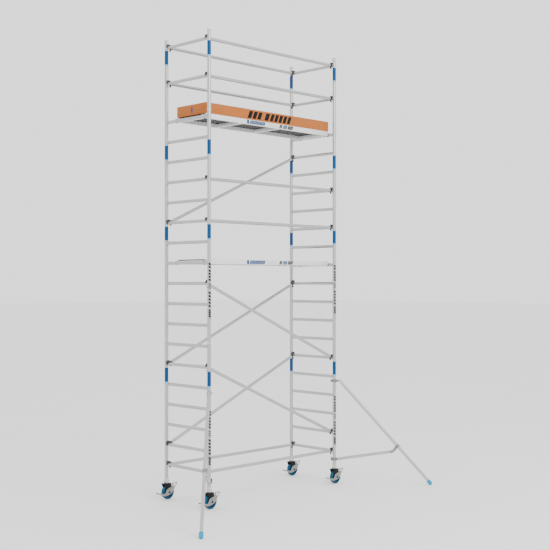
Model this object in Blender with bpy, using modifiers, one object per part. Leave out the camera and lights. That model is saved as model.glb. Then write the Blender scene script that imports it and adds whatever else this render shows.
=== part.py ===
"""Mobile tower scaffold.

Aluminium ladder frames stacked on spigots stand on four adjustable castors.
Clip-on braces join the two ends, two hatch platforms hang on the rungs, and
two stabilisers clamp to the front stiles. The origin is on the floor, midway
between the four castors: X runs along the tower, -Y is the stabiliser side.
All sizes are in metres.
"""

import math

import bmesh
import bpy
from mathutils import Matrix, Vector

# ---- Driving dimensions -------------------------------------------------

TOWER_LENGTH = 2.50       # between stile axes along X
TOWER_WIDTH = 0.90        # between stile axes along Y
FRAME_LIFT = 0.025        # top of the castor fork to the lower end of the base frames
RUNG_PITCH = 0.28
FIRST_RUNG = 0.24         # lower end of a frame to its first rung
BASE_RUNGS = 7
MID_RUNGS = 7
UPPER_RUNGS = 4
GUARD_KNEE = 0.50         # guard frame rails above the frame's lower end
GUARD_TOP = 1.00
GUARD_HEIGHT = 1.11

STILE_RADIUS = 0.0254
STILE_WALL = 0.002
TUBE_RADIUS = 0.022225    # rungs, braces and stabiliser tubes
TUBE_WALL = 0.002
SPIGOT_WALL = 0.003
SPIGOT_CLEARANCE = 0.0009
SPIGOT_SEAT = 0.06        # length held in the lower frame
SPIGOT_REACH = 0.10       # length standing up into the next frame

TOUCH_GAP = 0.0003        # gap left between pieces that touch
TURN_GAP = 0.0004         # gap left round a piece that turns

CLAW_WIDTH = 0.030        # along the rung
CLAW_WALL = 0.008
CLAW_CLEARANCE = 0.0005   # claw round the rung
HOOK_SWEEP = (-5, 185)    # degrees of rung that a hook covers
HOOK_STEPS = 5
CLAW_SIDE_GAP = 0.003     # claw to stile
CLAW_REACH = 0.055        # rung axis to the end of the brace tube
CLAW_SHANK = 0.025        # length of shank inside the brace tube
CLAW_SHANK_HEIGHT = 0.029
CLAW_CORE_RADIUS = 0.009  # cored hole that drains the tube
LATCH_DROP = 0.050        # rung axis to the tip of the latch tongue
LATCH_NECK = 0.034
LATCH_NEAR = 0.012        # near and far side of the tongue, from the rung axis
LATCH_FAR = 0.036
CLAW_HEEL = (0.044, 0.026)  # outer corner between tongue and shank
CLAW_THROAT = (0.030, 0.020)  # inner corner between hook and tongue
CLAW_CREST = (0.027, 0.047)  # corners of the raised back above the hook

LOWER_PLATFORM_RUNG = 11
PLATFORM_SIDE_ROOM = 0.29  # stile axes' spacing less the width of the platform
PLATFORM_SET_OVER = 1 / 18  # centre line towards the front, as a share of the spacing
BEAM_WIDTH = 0.04
BEAM_BELOW = 0.015        # beam faces, below and above the rung axis
BEAM_ABOVE = 0.05
BEAM_END_GAP = 0.035      # rung axis to the end of the beam
HOOK_WIDTH = 0.030
HOOK_WALL = 0.0075
HOOK_ROOT_TOP = 0.032
HOOK_ROOT_BOTTOM = -0.006
CROSS_BEAM_WIDTH = 0.04
MIDDLE_CROSS_BEAMS = (-0.204, 0.088)  # share of the tower's length from its middle
CROSS_BEAM_LIFT = 0.002   # cross beam above the underside of the side beams
CROSS_BEAM_INSET = 0.001  # end cross beams inside the beam ends
DECK_THICKNESS = 0.012
DECK_RECESS = 0.0025      # deck face below the top of the beams
HATCH_SIDE_ROOM = 0.16    # platform width less the width of the hatch
HATCH_GAP = 0.0025
HATCH_BEARING = 0.015     # hatch overlap on the cross beams
TOE_BOARD_HEIGHT = 0.147
TOE_BOARD_THICKNESS = 0.020
TOE_BOARD_OVERHANG = 0.005

WHEEL_RADIUS = 0.10
WHEEL_WIDTH = 0.050
WHEEL_HUB_RADIUS = 0.028
WHEEL_HUB_WIDTH = 0.054
WHEEL_RIM_RADIUS = 0.072
WHEEL_RECESS = 0.010
AXLE_RADIUS = 0.008
AXLE_NUT_RADIUS = 0.013
AXLE_NUT_LENGTH = 0.009
CASTOR_TRAIL = 0.020      # axle ahead of the swivel axis, along X
FORK_HEAD_LENGTH = 0.125
FORK_HEAD_THICKNESS = 0.018
FORK_CHEEK = 0.010
FORK_SIDE_CLEARANCE = 0.002
FORK_HEAD_CLEARANCE = 0.025  # top of the wheel to the top of the fork head
FORK_BOSS = 0.024         # round end of a cheek about the axle
FORK_TAPER = 0.030        # cheek narrows over this height and width
FORK_FLARE = 0.004
LEG_RADIUS = 0.019        # threaded adjustable leg
LEG_WALL = 0.004
LEG_FLANGE_RADIUS = 0.030
LEG_FLANGE = 0.010
LEG_REACH = 0.37          # leg inside the stile
NUT_WALL = 0.0056
NUT_CUP_DEPTH = 0.05      # cup standing round the lower end of the stile
NUT_WING_SPAN = 0.104
NUT_WING_WIDTH = 0.018
NUT_WING_HEIGHT = 0.011
NUT_WING_LIFT = 0.001
LEVER_THICKNESS = 0.004
PEDAL_RADIUS = 0.009
PEDAL_LENGTH = 0.062
PEDAL_REACH = 0.184       # axle to the middle of the pedal
LEVER_OUTLINE = (         # X and Z from the axle
    (-0.186, -0.010),
    (-0.100, -0.047),
    (-0.070, -0.050),
    (-0.040, -0.048),
    (0.000, -0.038),
    (0.040, -0.020),
    (0.068, 0.008),
    (0.092, 0.046),
    (0.140, 0.113),
    (0.131, 0.124),
    (0.052, 0.124),
    (0.046, 0.100),
    (0.036, 0.076),
    (0.024, 0.068),
    (-0.006, 0.062),
    (-0.042, 0.047),
    (-0.060, 0.020),
    (-0.067, -0.002),
    (-0.080, -0.014),
    (-0.182, 0.008),
)
LEVER_LOOP = ((0.066, 0.110), (0.118, 0.110), (0.086, 0.062))

CLAMP_WALL = 0.0091
CLAMP_HEIGHT = 0.044
CLAMP_SLOT = 0.004
CLAMP_EAR_REACH = 0.056
CLAMP_EAR_WIDTH = 0.026
CLAMP_EAR_INSET = 0.004   # ears lower than the band
CLAMP_TONGUE = 0.012
CLAMP_TONGUE_INSET = 0.008
TONGUE_END = 0.012        # tongue past the pin
UPPER_CLAMP_RUNG = 5
UPPER_CLAMP_DROP = 0.065  # rung axis to the middle of the upper clamp
LOWER_CLAMP_DROP = 0.123  # first rung to the middle of the lower clamp
STABILISER_PIVOT = 0.085  # stile axis to the pin at the upper clamp
ARM_END_REACH = 0.875     # stile axis to the end of the arm
ARM_END_DROP = 0.083      # collar to the end of the arm
ARM_ROOT_GAP = 0.006      # stile to the arm's tube
STRAP_HALF = 0.014        # half height of the strap that joins arm and collar
STRAP_ROOT = 0.030        # strap inside the arm
ARM_COLLAR_REACH = 0.945  # stile axis to the collar on the tube
ARM_COLLAR_RADIUS = 0.029
ARM_COLLAR_LENGTH = 0.042
PIN_RADIUS = 0.006
PIN_PROUD = 0.008
TUBE_PAST_PIN = 0.020
TUBE_SLOT_DEPTH = 0.040   # slot for the tongue, past the pin
SLOT_GAP = 0.002
FOOT_RADIUS = 0.030
FOOT_LENGTH = 0.052       # ball centre to the rim of the foot
FOOT_SOCKET_FLOOR = 0.012
TUBE_END_GAP = 0.0025     # tube to the floor of the socket
FOOT_REACH = {"left": 1.59, "right": 1.43}
STABILISER_HEADING = {"left": 225.4, "right": -49.7}  # degrees from +X

STILE_SIDES = 10
TUBE_SIDES = 8
CORE_SIDES = 6
WHEEL_SIDES = 16

# ---- Values worked out from them ----------------------------------------

FORK_TOP = 2 * WHEEL_RADIUS + FORK_HEAD_CLEARANCE
FRAME_BOTTOM = FORK_TOP + FRAME_LIFT
LEG_TOP = FRAME_BOTTOM + LEG_REACH
NUT_RADIUS = STILE_RADIUS + NUT_WALL
CLAMP_RADIUS = STILE_RADIUS + CLAMP_WALL
TOP_MARGIN = RUNG_PITCH - FIRST_RUNG
STILE_BORE = STILE_RADIUS - STILE_WALL
TUBE_BORE = TUBE_RADIUS - TUBE_WALL
SPIGOT_RADIUS = STILE_BORE - SPIGOT_CLEARANCE
HALF_LENGTH = TOWER_LENGTH / 2
HALF_WIDTH = TOWER_WIDTH / 2
CLAW_Y = HALF_WIDTH - STILE_RADIUS - CLAW_SIDE_GAP - CLAW_WIDTH / 2
TOP_RUNG = BASE_RUNGS + MID_RUNGS + UPPER_RUNGS
BEAM_HALF = HALF_LENGTH - BEAM_END_GAP
END_CROSS_BEAM = BEAM_HALF - CROSS_BEAM_WIDTH / 2
MIDDLE_CROSS_X = [share * TOWER_LENGTH for share in MIDDLE_CROSS_BEAMS]
PLATFORM_WIDTH = TOWER_WIDTH - PLATFORM_SIDE_ROOM
PLATFORM_SHIFT = -PLATFORM_SET_OVER * TOWER_WIDTH
HATCH_WIDTH = PLATFORM_WIDTH - HATCH_SIDE_ROOM
DECK_HALF_WIDTH = PLATFORM_WIDTH / 2 - BEAM_WIDTH - TOUCH_GAP
DECK_TOP = BEAM_ABOVE - DECK_RECESS
SIDES = {"left": -1, "right": 1}
FACES = {"front": -1, "back": 1}

PARTS = "mobile_tower_scaffold"


def rung_height(number):
    """Height of a rung above the floor, counted from 1 at the bottom."""
    return FRAME_BOTTOM + FIRST_RUNG + (number - 1) * RUNG_PITCH


UPPER_CLAMP_Z = rung_height(UPPER_CLAMP_RUNG) - UPPER_CLAMP_DROP
LOWER_CLAMP_Z = rung_height(1) - LOWER_CLAMP_DROP


def frame_height(rungs):
    return FIRST_RUNG + (rungs - 1) * RUNG_PITCH + TOP_MARGIN


def clear_radius(radius, gap, sides):
    """Corner radius of a many-sided bore whose flats clear a round piece."""
    return (radius + gap) / math.cos(math.pi / sides)


# ---- Scene and materials --------------------------------------------------

for leftover in list(bpy.data.objects):
    bpy.data.objects.remove(leftover)

parts = bpy.data.collections.new(PARTS)
bpy.context.scene.collection.children.link(parts)


def material(name, colour, roughness, metallic):
    """A plain Principled material."""
    surface = bpy.data.materials.new(name)
    surface.use_nodes = True
    shader = surface.node_tree.nodes["Principled BSDF"]
    shader.inputs["Base Color"].default_value = (*colour, 1.0)
    shader.inputs["Roughness"].default_value = roughness
    shader.inputs["Metallic"].default_value = metallic
    surface.diffuse_color = (*colour, 1.0)
    return surface


ALUMINIUM = material("aluminium", (0.62, 0.63, 0.64), 0.38, 0.9)
CAST_ALUMINIUM = material("cast_aluminium", (0.40, 0.41, 0.42), 0.5, 0.8)
PLYWOOD = material("phenolic_plywood", (0.035, 0.022, 0.018), 0.6, 0.0)
TOE_BOARD_PLY = material("toe_board_plywood", (0.55, 0.22, 0.06), 0.6, 0.0)
ZINC = material("zinc_plated_steel", (0.55, 0.56, 0.58), 0.35, 1.0)
BLACK_STEEL = material("black_painted_steel", (0.012, 0.013, 0.014), 0.45, 0.0)
BLUE_TYRE = material("blue_polyurethane", (0.01, 0.10, 0.30), 0.4, 0.0)
BLUE_RUBBER = material("blue_rubber", (0.02, 0.38, 0.68), 0.55, 0.0)


def add_part(name, mesh, surface, location=(0, 0, 0), rotation=(0, 0, 0), parent=None):
    """One named piece of the tower."""
    part = bpy.data.objects.new(name, mesh)
    parts.objects.link(part)
    part.location = location
    part.rotation_euler = rotation
    part.parent = parent
    if not mesh.materials:
        mesh.materials.append(surface)
    mesh.shade_smooth()
    mesh.set_sharp_from_angle(angle=math.radians(40))
    return part


def add_axis(name, location, heading=0.0):
    """An empty on a joint axis, which carries the pieces that turn with it."""
    axis = bpy.data.objects.new(name, None)
    parts.objects.link(axis)
    axis.empty_display_size = 0.1
    axis.location = location
    axis.rotation_euler = (0, 0, heading)
    return axis


# ---- Shape helpers --------------------------------------------------------


def rod(radius, start, end, sides):
    """A solid cylinder between two points."""
    start = Vector(start)
    end = Vector(end)
    span = end - start
    turn = Vector((0, 0, 1)).rotation_difference(span).to_matrix().to_4x4()
    place = Matrix.Translation((start + end) / 2) @ turn
    shape = bmesh.new()
    bmesh.ops.create_cone(
        shape,
        cap_ends=True,
        segments=sides,
        radius1=radius,
        radius2=radius,
        depth=span.length,
        matrix=place,
    )
    mesh = bpy.data.meshes.new("rod")
    shape.to_mesh(mesh)
    shape.free()
    return mesh


def block(low, high):
    """A box between two corners."""
    low = Vector(low)
    high = Vector(high)
    scale = Matrix.Diagonal((*(high - low), 1.0))
    shape = bmesh.new()
    bmesh.ops.create_cube(shape, size=1.0, matrix=Matrix.Translation((low + high) / 2) @ scale)
    mesh = bpy.data.meshes.new("block")
    shape.to_mesh(mesh)
    shape.free()
    return mesh


def evaluated_mesh(scratch):
    """The mesh an object makes with its modifiers, welded; the object goes."""
    depsgraph = bpy.context.evaluated_depsgraph_get()
    mesh = bpy.data.meshes.new_from_object(scratch.evaluated_get(depsgraph))
    bpy.data.objects.remove(scratch)
    shape = bmesh.new()
    shape.from_mesh(mesh)
    bmesh.ops.remove_doubles(shape, verts=shape.verts, dist=0.00001)
    shape.to_mesh(mesh)
    shape.free()
    return mesh


def gathered(meshes):
    """Several separate shapes in one mesh."""
    shape = bmesh.new()
    for mesh in meshes:
        shape.from_mesh(mesh)
    together = bpy.data.meshes.new("gathered")
    shape.to_mesh(together)
    shape.free()
    return together


def combined(mesh, other, operation):
    """An exact Boolean of two meshes."""
    body = bpy.data.objects.new("body", mesh)
    tool = bpy.data.objects.new("tool", other)
    bpy.context.scene.collection.objects.link(body)
    bpy.context.scene.collection.objects.link(tool)
    step = body.modifiers.new("boolean", "BOOLEAN")
    step.operation = operation
    step.object = tool
    result = evaluated_mesh(body)
    bpy.data.objects.remove(tool)
    return result


def joined(mesh, *others):
    for other in others:
        mesh = combined(mesh, other, "UNION")
    return mesh


def cut(mesh, *others):
    for other in others:
        mesh = combined(mesh, other, "DIFFERENCE")
    return mesh


def moved(mesh, matrix):
    copy = mesh.copy()
    copy.transform(matrix)
    return copy


def mirrored_x(mesh):
    """A copy turned half round Z, for shapes that are the same to both sides."""
    return moved(mesh, Matrix.Rotation(math.pi, 4, "Z"))


def plate(outline, thickness, holes=()):
    """A flat piece drawn in X and Z, as thick as given along Y."""
    drawing = bpy.data.curves.new("outline", "CURVE")
    drawing.dimensions = "2D"
    drawing.fill_mode = "BOTH"
    drawing.extrude = thickness / 2
    for points in (outline, *holes):
        spline = drawing.splines.new("POLY")
        spline.points.add(len(points) - 1)
        for point, (x, z) in zip(spline.points, points):
            point.co = (x, z, 0, 1)
        spline.use_cyclic_u = True
    sheet = bpy.data.objects.new("outline", drawing)
    bpy.context.scene.collection.objects.link(sheet)
    mesh = evaluated_mesh(sheet)
    mesh.transform(Matrix.Rotation(math.pi / 2, 4, "X"))
    return mesh


def turned(profile, steps, start_angle=0.0):
    """A shape turned about Z from (radius, height) points, outer side downwards."""
    mesh = bpy.data.meshes.new("profile")
    vertices = [(radius, 0, height) for radius, height in profile]
    edges = [(i, i + 1) for i in range(len(profile) - 1)]
    if profile[0][0] > 0:
        edges.append((len(profile) - 1, 0))
    mesh.from_pydata(vertices, edges, [])
    mesh.transform(Matrix.Rotation(start_angle, 4, "Z"))
    lathe = bpy.data.objects.new("profile", mesh)
    bpy.context.scene.collection.objects.link(lathe)
    screw = lathe.modifiers.new("screw", "SCREW")
    screw.steps = steps
    screw.render_steps = steps
    screw.use_merge_vertices = True
    screw.merge_threshold = 0.00005
    return evaluated_mesh(lathe)


def arc(centre, radius, start, end, steps):
    """Points on an arc in the X-Z plane, angles in degrees from +X."""
    points = []
    for i in range(steps + 1):
        angle = math.radians(start + (end - start) * i / steps)
        points.append((centre[0] + radius * math.cos(angle), centre[1] + radius * math.sin(angle)))
    return points


# ---- Ladder frames --------------------------------------------------------


def ladder_frame(rungs, height, spigots):
    """Two stiles with hollow rungs between them; the hollows open into the stiles."""
    stiles = []
    stile_bores = []
    spigot_tubes = []
    spigot_bores = []
    seat = height - SPIGOT_SEAT if spigots else height + SPIGOT_SEAT
    for side in (-1, 1):
        y = side * HALF_WIDTH
        stiles.append(rod(STILE_RADIUS, (0, y, 0), (0, y, height), STILE_SIDES))
        stile_bores.append(rod(STILE_BORE, (0, y, -SPIGOT_SEAT), (0, y, seat), STILE_SIDES))
        if spigots:
            tip = height + SPIGOT_REACH
            spigot_tubes.append(rod(SPIGOT_RADIUS, (0, y, seat), (0, y, tip), STILE_SIDES))
            inner = SPIGOT_RADIUS - SPIGOT_WALL
            spigot_bores.append(
                rod(inner, (0, y, seat - SPIGOT_SEAT), (0, y, tip + SPIGOT_SEAT), STILE_SIDES)
            )
    rung_tubes = []
    rung_bores = []
    for z in rungs:
        ends = (0, -HALF_WIDTH, z), (0, HALF_WIDTH, z)
        rung_tubes.append(rod(TUBE_RADIUS, *ends, TUBE_SIDES))
        rung_bores.append(rod(TUBE_BORE, *ends, TUBE_SIDES))
    shell = joined(gathered(stiles), gathered(rung_tubes))
    if spigots:
        shell = joined(shell, gathered(spigot_tubes))
    shell = cut(shell, gathered(stile_bores))
    if spigots:
        shell = cut(shell, gathered(spigot_bores))
    return cut(shell, gathered(rung_bores))


def rung_ladder(count):
    heights = [FIRST_RUNG + i * RUNG_PITCH for i in range(count)]
    return ladder_frame(heights, frame_height(count) - TOUCH_GAP, True)


base_level = FRAME_BOTTOM
mid_level = base_level + frame_height(BASE_RUNGS)
upper_level = mid_level + frame_height(MID_RUNGS)
guard_level = upper_level + frame_height(UPPER_RUNGS)

tall_frame = rung_ladder(BASE_RUNGS)
short_frame = rung_ladder(UPPER_RUNGS)
mid_frame = tall_frame if MID_RUNGS == BASE_RUNGS else rung_ladder(MID_RUNGS)
guard_frame = ladder_frame([GUARD_KNEE, GUARD_TOP], GUARD_HEIGHT, False)

for side, sign in SIDES.items():
    x = sign * HALF_LENGTH
    add_part(f"base_frame_{side}", tall_frame, ALUMINIUM, (x, 0, base_level))
    add_part(f"mid_frame_{side}", mid_frame, ALUMINIUM, (x, 0, mid_level))
    add_part(f"upper_frame_{side}", short_frame, ALUMINIUM, (x, 0, upper_level))
    add_part(f"guard_frame_{side}", guard_frame, ALUMINIUM, (x, 0, guard_level))


# ---- Braces and guard rails -------------------------------------------------


def hook_arcs(wall):
    """Inner and outer arcs of a hook that drops over a rung at the origin."""
    start, end = HOOK_SWEEP
    half_step = math.radians(end - start) / HOOK_STEPS / 2
    inner = (TUBE_RADIUS + CLAW_CLEARANCE) / math.cos(half_step)
    inside = arc((0, 0), inner, start, end, HOOK_STEPS)
    outside = arc((0, 0), inner + wall, start, 95, 3)
    return inside, outside


def claw():
    """A cast claw over the rung at the origin, with its latch tongue below."""
    inside, outside = hook_arcs(CLAW_WALL)
    half = CLAW_SHANK_HEIGHT / 2
    tongue = [
        (-LATCH_NEAR, -LATCH_NECK),
        (-LATCH_NEAR, -LATCH_DROP),
        (-LATCH_FAR, -LATCH_DROP),
        (-CLAW_HEEL[0], -CLAW_HEEL[1]),
        (-CLAW_REACH, -half),
        (-CLAW_REACH - CLAW_SHANK, -half),
        (-CLAW_REACH - CLAW_SHANK, half),
        (-CLAW_REACH, half),
    ]
    throat = (-CLAW_THROAT[0], -CLAW_THROAT[1])
    reach, height = CLAW_CREST
    back = outside[:2] + [(reach, height), (-reach, height)]
    outline = back + tongue[::-1] + [throat] + inside[::-1]
    return plate(outline, CLAW_WIDTH)


def brace(length):
    """A hollow tube along X with a claw on each end, for rungs `length` apart."""
    end = length / 2
    tube = rod(TUBE_RADIUS, (CLAW_REACH - end, 0, 0), (end - CLAW_REACH, 0, 0), TUBE_SIDES)
    right = moved(claw(), Matrix.Translation((end, 0, 0)))
    body = joined(tube, right, mirrored_x(right))
    plug = end - CLAW_REACH - CLAW_SHANK
    core = end - TUBE_RADIUS
    hollow = rod(TUBE_BORE, (-plug, 0, 0), (plug, 0, 0), TUBE_SIDES)
    drain = rod(CLAW_CORE_RADIUS, (-core, 0, 0), (core, 0, 0), CORE_SIDES)
    return cut(body, joined(hollow, drain))


def add_brace(name, mesh, face, left_height, right_height):
    middle = (0, FACES[face] * CLAW_Y, (left_height + right_height) / 2)
    slope = math.atan2(right_height - left_height, TOWER_LENGTH)
    add_part(name, mesh, ALUMINIUM, middle, (0, -slope, 0))


DIAGONALS = {          # left rung, right rung
    "front_diagonal_1": ("front", 6, 2),
    "front_diagonal_2": ("front", 10, 6),
    "back_diagonal_1": ("back", 2, 6),
    "back_diagonal_2": ("back", 6, 10),
    "back_diagonal_3": ("back", 13, 17),
}
DIAGONAL_RISE = 4 * RUNG_PITCH

straight_brace = brace(TOWER_LENGTH)
diagonal_brace = brace(math.hypot(TOWER_LENGTH, DIAGONAL_RISE))

for name, (face, left_rung, right_rung) in DIAGONALS.items():
    add_brace(name, diagonal_brace, face, rung_height(left_rung), rung_height(right_rung))

for face in FACES:
    base = rung_height(1)
    knee = guard_level + GUARD_KNEE
    top = guard_level + GUARD_TOP
    add_brace(f"base_brace_{face}", straight_brace, face, base, base)
    add_brace(f"knee_rail_{face}", straight_brace, face, knee, knee)
    add_brace(f"top_rail_{face}", straight_brace, face, top, top)

for name, rung in {"mid_knee_rail_front": 13, "mid_top_rail_front": 15}.items():
    height = rung_height(rung)
    add_brace(name, straight_brace, "front", height, height)


# ---- Platforms --------------------------------------------------------------


def platform_hook():
    """A hook at the right-hand end of a side beam, over a rung at the origin."""
    inside, outside = hook_arcs(HOOK_WALL)
    root = -BEAM_END_GAP - CROSS_BEAM_WIDTH / 2
    body = [
        (-BEAM_END_GAP, HOOK_ROOT_TOP),
        (root, HOOK_ROOT_TOP),
        (root, HOOK_ROOT_BOTTOM),
        (-BEAM_END_GAP, HOOK_ROOT_BOTTOM),
    ]
    return plate(outside + body + inside[::-1], HOOK_WIDTH)


def platform_frame():
    """Two side beams with hooks, joined by cross beams below the deck."""
    beam_y = (PLATFORM_WIDTH - BEAM_WIDTH) / 2
    beams = []
    hooks = []
    hook = moved(platform_hook(), Matrix.Translation((HALF_LENGTH, 0, 0)))
    for side in (-1, 1):
        low = (-BEAM_HALF, side * beam_y - BEAM_WIDTH / 2, -BEAM_BELOW)
        high = (BEAM_HALF, side * beam_y + BEAM_WIDTH / 2, BEAM_ABOVE)
        beams.append(block(low, high))
        place = Matrix.Translation((0, side * beam_y, 0))
        hooks.append(moved(hook, place))
        hooks.append(moved(mirrored_x(hook), place))
    crosses = []
    cross_top = DECK_TOP - DECK_THICKNESS - TOUCH_GAP
    cross_bottom = -BEAM_BELOW + CROSS_BEAM_LIFT
    end = END_CROSS_BEAM - CROSS_BEAM_INSET
    half = CROSS_BEAM_WIDTH / 2
    for x in (-end, *MIDDLE_CROSS_X, end):
        crosses.append(block((x - half, -beam_y, cross_bottom), (x + half, beam_y, cross_top)))
    return joined(gathered(beams), gathered(crosses), gathered(hooks))


HATCH_LOW_X = -END_CROSS_BEAM + CROSS_BEAM_WIDTH / 2 - HATCH_BEARING
HATCH_HIGH_X = MIDDLE_CROSS_X[0] - CROSS_BEAM_WIDTH / 2 + HATCH_BEARING
HATCH_HALF = HATCH_WIDTH / 2


def deck_board():
    """The plywood deck with the opening for the hatch."""
    bottom = DECK_TOP - DECK_THICKNESS
    end = BEAM_HALF - TOUCH_GAP
    board = block((-end, -DECK_HALF_WIDTH, bottom), (end, DECK_HALF_WIDTH, DECK_TOP))
    low = (HATCH_LOW_X - HATCH_GAP, -HATCH_HALF - HATCH_GAP, bottom - DECK_THICKNESS)
    high = (HATCH_HIGH_X + HATCH_GAP, HATCH_HALF + HATCH_GAP, DECK_TOP + DECK_THICKNESS)
    return cut(board, block(low, high))


def hatch_panel():
    """The hatch, drawn from its hinge line along its back edge."""
    low = (HATCH_LOW_X, -HATCH_WIDTH, -DECK_THICKNESS)
    return block(low, (HATCH_HIGH_X, 0, 0))


frame_mesh = platform_frame()
deck_mesh = deck_board()
hatch_mesh = hatch_panel()
top_rung_height = rung_height(TOP_RUNG)

for level, height in {
    "lower": rung_height(LOWER_PLATFORM_RUNG),
    "upper": top_rung_height,
}.items():
    place = (0, PLATFORM_SHIFT, height)
    hinge = (0, PLATFORM_SHIFT + HATCH_HALF, height + DECK_TOP)
    add_part(f"{level}_platform_frame", frame_mesh, ALUMINIUM, place)
    add_part(f"{level}_deck", deck_mesh, PLYWOOD, place)
    add_part(f"{level}_hatch", hatch_mesh, PLYWOOD, hinge)

board_bottom = top_rung_height + BEAM_ABOVE + TOUCH_GAP
board_half = BEAM_HALF + TOE_BOARD_OVERHANG
board_y = (PLATFORM_WIDTH - TOE_BOARD_THICKNESS) / 2
half_thick = TOE_BOARD_THICKNESS / 2
long_board = block((-board_half, -half_thick, 0), (board_half, half_thick, TOE_BOARD_HEIGHT))
short_half = board_y - half_thick - TOUCH_GAP
short_board = block((-half_thick, -short_half, 0), (half_thick, short_half, TOE_BOARD_HEIGHT))

for face, sign in FACES.items():
    place = (0, PLATFORM_SHIFT + sign * board_y, board_bottom)
    add_part(f"toe_board_{face}", long_board, TOE_BOARD_PLY, place)
for side, sign in SIDES.items():
    place = (sign * (board_half - half_thick), PLATFORM_SHIFT, board_bottom)
    add_part(f"toe_board_{side}", short_board, TOE_BOARD_PLY, place)


# ---- Castors ----------------------------------------------------------------


def adjustable_leg():
    """The threaded leg that stands up inside the stile, hollow from the top."""
    low = FORK_TOP + TURN_GAP
    flange = low + LEG_FLANGE
    bore = LEG_RADIUS - LEG_WALL
    profile = [
        (0, flange),
        (bore, flange),
        (bore, LEG_TOP),
        (LEG_RADIUS, LEG_TOP),
        (LEG_RADIUS, flange),
        (LEG_FLANGE_RADIUS, flange),
        (LEG_FLANGE_RADIUS, low),
        (0, low),
    ]
    return turned(profile, STILE_SIDES)


def adjusting_nut():
    """The winged nut on the leg; the stile stands in its cup."""
    low = FORK_TOP + TURN_GAP + LEG_FLANGE + TURN_GAP
    seat = FRAME_BOTTOM - TURN_GAP
    rim = FRAME_BOTTOM + NUT_CUP_DEPTH
    thread = clear_radius(LEG_RADIUS, TURN_GAP, STILE_SIDES)
    cup = clear_radius(STILE_RADIUS, TURN_GAP, STILE_SIDES)
    profile = [
        (thread, seat),
        (cup, seat),
        (cup, rim),
        (NUT_RADIUS, rim),
        (NUT_RADIUS, low),
        (thread, low),
    ]
    body = turned(profile, STILE_SIDES)
    half = NUT_WING_WIDTH / 2
    wing_low = low + NUT_WING_LIFT
    wing_high = wing_low + NUT_WING_HEIGHT
    inner = (thread + NUT_RADIUS) / 2
    right = block((inner, -half, wing_low), (NUT_WING_SPAN / 2, half, wing_high))
    return joined(body, right, mirrored_x(right))


def castor_fork():
    """Fork head and cheeks round the wheel, with the axle bolt through them."""
    inside = WHEEL_HUB_WIDTH / 2 + FORK_SIDE_CLEARANCE
    outside = inside + FORK_CHEEK
    head = FORK_HEAD_LENGTH / 2
    knee = FORK_TOP - FORK_HEAD_THICKNESS
    axle = (CASTOR_TRAIL, WHEEL_RADIUS)
    outline = [
        (-head, FORK_TOP),
        (-head + FORK_FLARE, knee),
        (-head + FORK_TAPER, knee - FORK_TAPER),
        *arc(axle, FORK_BOSS, 180, 360, 6),
        (head - FORK_TAPER / 2, knee - FORK_TAPER),
        (head - FORK_FLARE, knee),
        (head, FORK_TOP),
    ]
    body = plate(outline, 2 * outside)
    body = cut(body, block((-FORK_TOP, -inside, 0), (FORK_TOP, inside, knee)))
    nut_face = outside + TURN_GAP + LEVER_THICKNESS + TURN_GAP
    x, z = axle
    shaft = rod(AXLE_RADIUS, (x, -nut_face, z), (x, outside + AXLE_NUT_LENGTH, z), TUBE_SIDES)
    nut_front = rod(
        AXLE_NUT_RADIUS, (x, -nut_face - AXLE_NUT_LENGTH, z), (x, -nut_face, z), CORE_SIDES
    )
    nut_back = rod(
        AXLE_NUT_RADIUS, (x, outside - TURN_GAP, z), (x, outside + AXLE_NUT_LENGTH, z), CORE_SIDES
    )
    return joined(body, joined(shaft, nut_front), nut_back)


def castor_wheel():
    """Tyre, web and hub turned about Y, with a flat of the tyre facing down."""
    half = WHEEL_WIDTH / 2
    hub = WHEEL_HUB_WIDTH / 2
    web = half - WHEEL_RECESS
    outer = WHEEL_RADIUS / math.cos(math.pi / WHEEL_SIDES)
    bore = clear_radius(AXLE_RADIUS, TURN_GAP, WHEEL_SIDES)
    side = [
        (bore, hub),
        (WHEEL_HUB_RADIUS, hub),
        (WHEEL_HUB_RADIUS + 0.006, web),
        (WHEEL_RIM_RADIUS, web),
        (outer - 0.008, half),
        (outer, half - 0.007),
    ]
    profile = side + [(radius, -height) for radius, height in reversed(side)]
    wheel = turned(profile, WHEEL_SIDES, math.pi / WHEEL_SIDES)
    wheel.transform(Matrix.Rotation(math.pi / 2, 4, "X"))
    return wheel


def brake_lever():
    """Pedal and release loop on one plate that rocks on the axle."""
    bore = clear_radius(AXLE_RADIUS, TURN_GAP, TUBE_SIDES)
    hole = arc((0, 0), bore, 0, 315, 7)
    lever = plate(LEVER_OUTLINE, LEVER_THICKNESS, (LEVER_LOOP, hole))
    pedal_end = PEDAL_LENGTH - LEVER_THICKNESS / 2
    pedal = rod(PEDAL_RADIUS, (-PEDAL_REACH, -TURN_GAP, 0), (-PEDAL_REACH, pedal_end, 0), TUBE_SIDES)
    return joined(lever, pedal)


leg_mesh = adjustable_leg()
nut_mesh = adjusting_nut()
fork_mesh = castor_fork()
wheel_mesh = castor_wheel()
lever_mesh = brake_lever()
cheek_face = WHEEL_HUB_WIDTH / 2 + FORK_SIDE_CLEARANCE + FORK_CHEEK
lever_y = -(cheek_face + TURN_GAP + LEVER_THICKNESS / 2)

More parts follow.
